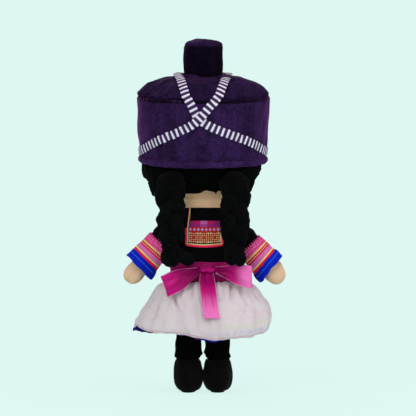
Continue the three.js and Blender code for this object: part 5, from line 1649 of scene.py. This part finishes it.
def make_legs():
    """Stuffed legs with black leggings, and suede shoes on their soles."""
    for side, sign in SIDES.items():
        body, centre = f"leg_{side}", np.array([sign * LEG_OUT, LEG_BACK, 0])
        leg = stuffed([(z, radius, radius) for z, radius in LEG_ROWS], centre, 60, 40)
        piece(body, leg, "ball", body, "linen", linen(), tight=0.8)
        name, grid, middle = f"legging_{side}", legging_form(side), centre + [0, 0, 50]
        sheet(name, grid, "tube", body, "jacket", legging_cotton(), 1.1, "stretched", [body], inside=middle)
        shoe = foot_rings(sign, through(SHOE_ROWS, 50))
        seam = hump(shoe[..., 0], sign * LEG_OUT, 0.9) * (shoe[..., 1] > LEG_BACK)
        shoe = swollen(shoe, 0.35 * ripples(shoe, 20, 113) - 0.5 * seam)
        piece(f"shoe_{side}", shoe, "ball", body, "suede", suede(), tight=0.8)
        piece(f"sole_{side}", foot_rings(sign, SOLE_ROWS), "ball", body, "suede", suede())


# Stage

FLOOR_HALF, WALL_TURN, WALL_TOP = 2600, 600, 3200  # mm: half the paper, its curve's radius, its top
SENSOR, VIEW_WIDTH = 36, 0.416  # mm of the camera's sensor, and metres that it sees at the doll


def backdrop_finish(colour):
    """Pale paper: flat to the camera and to what mirrors it, with a share of real light for the shadow."""
    material = bpy.data.materials.new("Backdrop")
    material.use_nodes = True
    graph = Graph(material.node_tree)
    shader = material.node_tree.nodes["Principled BSDF"]
    for key, value in (("Base Color", colour), ("Roughness", 0.95), ("Specular IOR Level", 0.0)):
        shader.inputs[key].default_value = value
    path = graph.add("ShaderNodeLightPath").outputs
    rays = ("Is Camera Ray", "Is Glossy Ray", "Is Transmission Ray")
    seen, glossy, passed = (Value(graph, path[ray]) for ray in rays)
    seen = graph.math("MAXIMUM", seen, graph.math("MAXIMUM", glossy, passed))
    reach = graph.value("ShaderNodeVectorMath", {0: graph.here()}, "Value", operation="LENGTH")
    flat = graph.step(reach, 0.22, 0.6) * 0.1 + 0.9
    glow = graph.value("ShaderNodeEmission", {"Color": colour, "Strength": 1.0})
    mixed = graph.value("ShaderNodeMixShader", {0: seen * flat, 1: Value(graph, shader.outputs[0]), 2: glow})
    graph.feed(material.node_tree.nodes["Material Output"].inputs["Surface"], mixed)
    return material


def make_stage():
    """A curved sheet of pale paper for floor and wall, soft lamps, and the camera behind the doll."""
    stage, scene = chosen("stage"), bpy.context.scene
    turn, far = np.linspace(0, math.pi / 2, 16)[1:], FLOOR_HALF + WALL_TURN
    curve = [-FLOOR_HALF - WALL_TURN * np.sin(turn), WALL_TURN - WALL_TURN * np.cos(turn)]
    y = np.concatenate([np.linspace(FLOOR_HALF, -FLOOR_HALF, 20), curve[0], np.full(7, -float(far))])
    z = np.concatenate([np.zeros(20), curve[1], np.linspace(WALL_TURN, WALL_TOP, 8)[1:]])
    x = np.linspace(-FLOOR_HALF, FLOOR_HALF, 12)
    grid = np.stack(np.broadcast_arrays(x[None], y[:, None], z[:, None]), -1)
    paper = sew("backdrop", grid, inside=(0, 0, -4000))
    paper.data.materials.append(backdrop_finish(stage.backdrop))
    for name, spot, size, power in (
        ("Key", (0.7, 1.7, 1.25), 1.6, 1.0),
        ("Fill", (-1.3, 1.2, 0.75), 1.6, 0.7),
        ("Front", (0.3, -1.9, 1.2), 1.8, 0.85),
        ("Top", (0.0, 0.1, 1.9), 1.4, 0.35),
    ):
        light = bpy.data.lights.new(name, "AREA")
        light.size, light.energy = size, stage.light * power
        lamp = bpy.data.objects.new(name, light)
        scene.collection.objects.link(lamp)
        lamp.location = spot
        aim = np.array([0, 0, 0.18]) - spot
        tilt = math.atan2(math.hypot(aim[0], aim[1]), -aim[2])
        lamp.rotation_euler = (tilt, 0, math.atan2(-aim[0], aim[1]))
    world = bpy.data.worlds.new("Room")
    world.use_nodes = True
    graph = Graph(world.node_tree)
    seen = graph.value("ShaderNodeLightPath", (), "Is Camera Ray")
    sky = world.node_tree.nodes["Background"].inputs
    graph.feed(sky["Color"], graph.mix(seen, (1, 1, 1, 1), stage.backdrop))
    graph.feed(sky["Strength"], seen * (1 - stage.room) + stage.room)
    scene.world = world
    camera = bpy.data.cameras.new("Camera")
    camera.sensor_width, camera.clip_end = SENSOR, 20
    camera.lens = SENSOR * stage.distance / VIEW_WIDTH
    eye = bpy.data.objects.new("Camera", camera)
    eye.location = (STANCE[0] - 0.005, STANCE[1] + stage.distance, 0.183)
    eye.rotation_euler = (math.pi / 2, 0, math.pi)
    scene.collection.objects.link(eye)
    scene.camera = eye
    scene.view_settings.view_transform = "Standard"


# Settings, operators and panel

def colour(label, about, value):
    return bpy.props.FloatVectorProperty(
        name=label, description=about, subtype="COLOR", size=4, min=0, max=1, default=value
    )


def length(label, about, millimetres):
    size = {"subtype": "DISTANCE", "unit": "LENGTH", "precision": 4}
    return bpy.props.FloatProperty(name=label, description=about, min=0, default=millimetres * MM, **size)


def strength(label, about, value, unit="NONE"):
    return bpy.props.FloatProperty(name=label, description=about, min=0, default=value, unit=unit)


class HatSettings(bpy.types.PropertyGroup):
    velvet: colour("Velvet", "Colour of the hat's velvet where it is brushed open", srgb(52, 30, 76))
    dash: colour("Dashes", "Colour of the dashes on the hat's tapes", srgb(232, 222, 234))
    dash_pitch: length("Dash pitch", "From one dash to the next", 5.4)
    dash_length: length("Dash length", "Length of a dash along the tape", 2.25)
    pucker: length("Pucker", "Depth of the puckers at the crown's seam", 0.8)


class HairSettings(bpy.types.PropertyGroup):
    plush: colour("Plush", "Colour of the hair's plush", srgb(9, 9, 10))
    lump: length("Lumps", "Unevenness of the stuffed strands", 0.7)


class BodySettings(bpy.types.PropertyGroup):
    linen: colour("Linen", "Colour of the skin's linen", srgb(240, 198, 164))
    # painted light: paler than the body's linen, for the neck that lies in shade
    neck_linen_painted_light: colour("Neck", "Colour of the neck's linen", srgb(255, 208, 168))
    thread: colour("Thread", "Colour of the eyes' thread", srgb(18, 14, 16))
    eye_out: length("Eye place", "From the middle of the face to an eye", 17)


class ClothesSettings(bpy.types.PropertyGroup):
    jacket: colour("Jacket", "Colour of the jacket's cotton", srgb(12, 9, 12))
    cuff: colour("Cuffs", "Colour of the cuffs and front bands", srgb(4, 34, 196))
    ribbon: colour("Ribbon", "Colour of the satin sash and bow", srgb(184, 6, 112))
    skirt: colour("Skirt", "Colour of the skirt's cotton", srgb(214, 200, 204))
    underskirt: colour("Underskirt", "Main colour of the underskirt's print", srgb(28, 26, 160))
    shoes: colour("Shoes", "Colour of the shoes' suede", srgb(10, 8, 10))
    pinking: length("Pinking", "Half the height of the zigzag edge of the sleeve trim", 1.7)
    fold_depth: length("Skirt folds", "Depth of the skirt's folds", 2.6)


class StageSettings(bpy.types.PropertyGroup):
    backdrop: colour("Backdrop", "Colour of the floor and wall", srgb(222, 247, 242))
    light: strength("Lamps", "Power of the key lamp", 22, "POWER")
    room: strength("Room light", "Strength of the light all round", 0.38)
    distance: length("Camera distance", "From the doll to the camera", 2000)


class DOLL_OT_stage(bpy.types.Operator):
    """Set up the backdrop, the lamps and the camera"""

    bl_idname = "doll.stage"
    bl_label = "Stage"

    def execute(self, context):
        make_stage()
        return {"FINISHED"}


class DOLL_OT_body(bpy.types.Operator):
    """Sew the torso, the neck, and the head with its face"""

    bl_idname = "doll.body"
    bl_label = "Body and Face"

    def execute(self, context):
        make_body()
        return {"FINISHED"}


class DOLL_OT_legs(bpy.types.Operator):
    """Sew the legs with their leggings and shoes"""

    bl_idname = "doll.legs"
    bl_label = "Legs and Shoes"

    def execute(self, context):
        make_legs()
        return {"FINISHED"}


class DOLL_OT_hair(bpy.types.Operator):
    """Lay the plush cap of hair over the head"""

    bl_idname = "doll.hair"
    bl_label = "Hair"

    def execute(self, context):
        make_hair()
        return {"FINISHED"}


class DOLL_OT_plaits(bpy.types.Operator):
    """Weave the two plaits"""

    bl_idname = "doll.plaits"
    bl_label = "Plaits"

    def execute(self, context):
        make_plaits()
        return {"FINISHED"}


class DOLL_OT_hat(bpy.types.Operator):
    """Sew the velvet hat and its knob"""

    bl_idname = "doll.hat"
    bl_label = "Hat"

    def execute(self, context):
        make_hat()
        return {"FINISHED"}


class DOLL_OT_hat_trims(bpy.types.Operator):
    """Lay the two dashed tapes over the hat"""

    bl_idname = "doll.hat_trims"
    bl_label = "Hat Tapes"

    def execute(self, context):
        make_hat_trims()
        return {"FINISHED"}


class DOLL_OT_jacket(bpy.types.Operator):
    """Sew the jacket and its front bands"""

    bl_idname = "doll.jacket"
    bl_label = "Jacket"

    def execute(self, context):
        make_jacket()
        return {"FINISHED"}


class DOLL_OT_collar(bpy.types.Operator):
    """Sew the embroidered collar on the back"""

    bl_idname = "doll.collar"
    bl_label = "Collar"

    def execute(self, context):
        make_collar()
        return {"FINISHED"}


class DOLL_OT_sleeves(bpy.types.Operator):
    """Sew the shoulders, the banded sleeves and the cuffs"""

    bl_idname = "doll.sleeves"
    bl_label = "Sleeves"

    def execute(self, context):
        make_sleeves()
        return {"FINISHED"}


class DOLL_OT_hands(bpy.types.Operator):
    """Stuff the linen arms and mitts"""

    bl_idname = "doll.hands"
    bl_label = "Hands"

    def execute(self, context):
        make_hands()
        return {"FINISHED"}


class DOLL_OT_sash(bpy.types.Operator):
    """Tie the satin sash and its bow"""

    bl_idname = "doll.sash"
    bl_label = "Sash and Bow"

    def execute(self, context):
        make_sash()
        return {"FINISHED"}


class DOLL_OT_skirt(bpy.types.Operator):
    """Gather the white skirt over its underskirt"""

    bl_idname = "doll.skirt"
    bl_label = "Skirt"

    def execute(self, context):
        make_skirt()
        return {"FINISHED"}


OPERATORS = (
    DOLL_OT_stage,
    DOLL_OT_body,
    DOLL_OT_legs,
    DOLL_OT_hair,
    DOLL_OT_plaits,
    DOLL_OT_hat,
    DOLL_OT_hat_trims,
    DOLL_OT_jacket,
    DOLL_OT_collar,
    DOLL_OT_sleeves,
    DOLL_OT_hands,
    DOLL_OT_sash,
    DOLL_OT_skirt,
)
GROUPS = {
    "doll_hat": HatSettings,
    "doll_hair": HairSettings,
    "doll_body": BodySettings,
    "doll_clothes": ClothesSettings,
    "doll_stage": StageSettings,
}


class DOLL_PT_panel(bpy.types.Panel):
    bl_idname = "DOLL_PT_panel"
    bl_label = "Plush Doll"
    bl_space_type = "VIEW_3D"
    bl_region_type = "UI"
    bl_category = "Doll"

    def draw(self, context):
        for made in OPERATORS:
            self.layout.operator(made.bl_idname)
        for name, group in GROUPS.items():
            box = self.layout.box()
            for key in group.__annotations__:
                box.prop(getattr(context.scene, name), key)


CLASSES = (*GROUPS.values(), *OPERATORS, DOLL_PT_panel)


def register():
    for made in CLASSES:
        bpy.utils.register_class(made)
    for name, group in GROUPS.items():
        setattr(bpy.types.Scene, name, bpy.props.PointerProperty(type=group))


def unregister():
    for name in GROUPS:
        delattr(bpy.types.Scene, name)
    for made in reversed(CLASSES):
        bpy.utils.unregister_class(made)


def main():
    """Makes every piece in order."""
    register()
    for made in OPERATORS:
        getattr(bpy.ops.doll, made.bl_idname.removeprefix("doll."))()


if __name__ == "__main__":
    main()
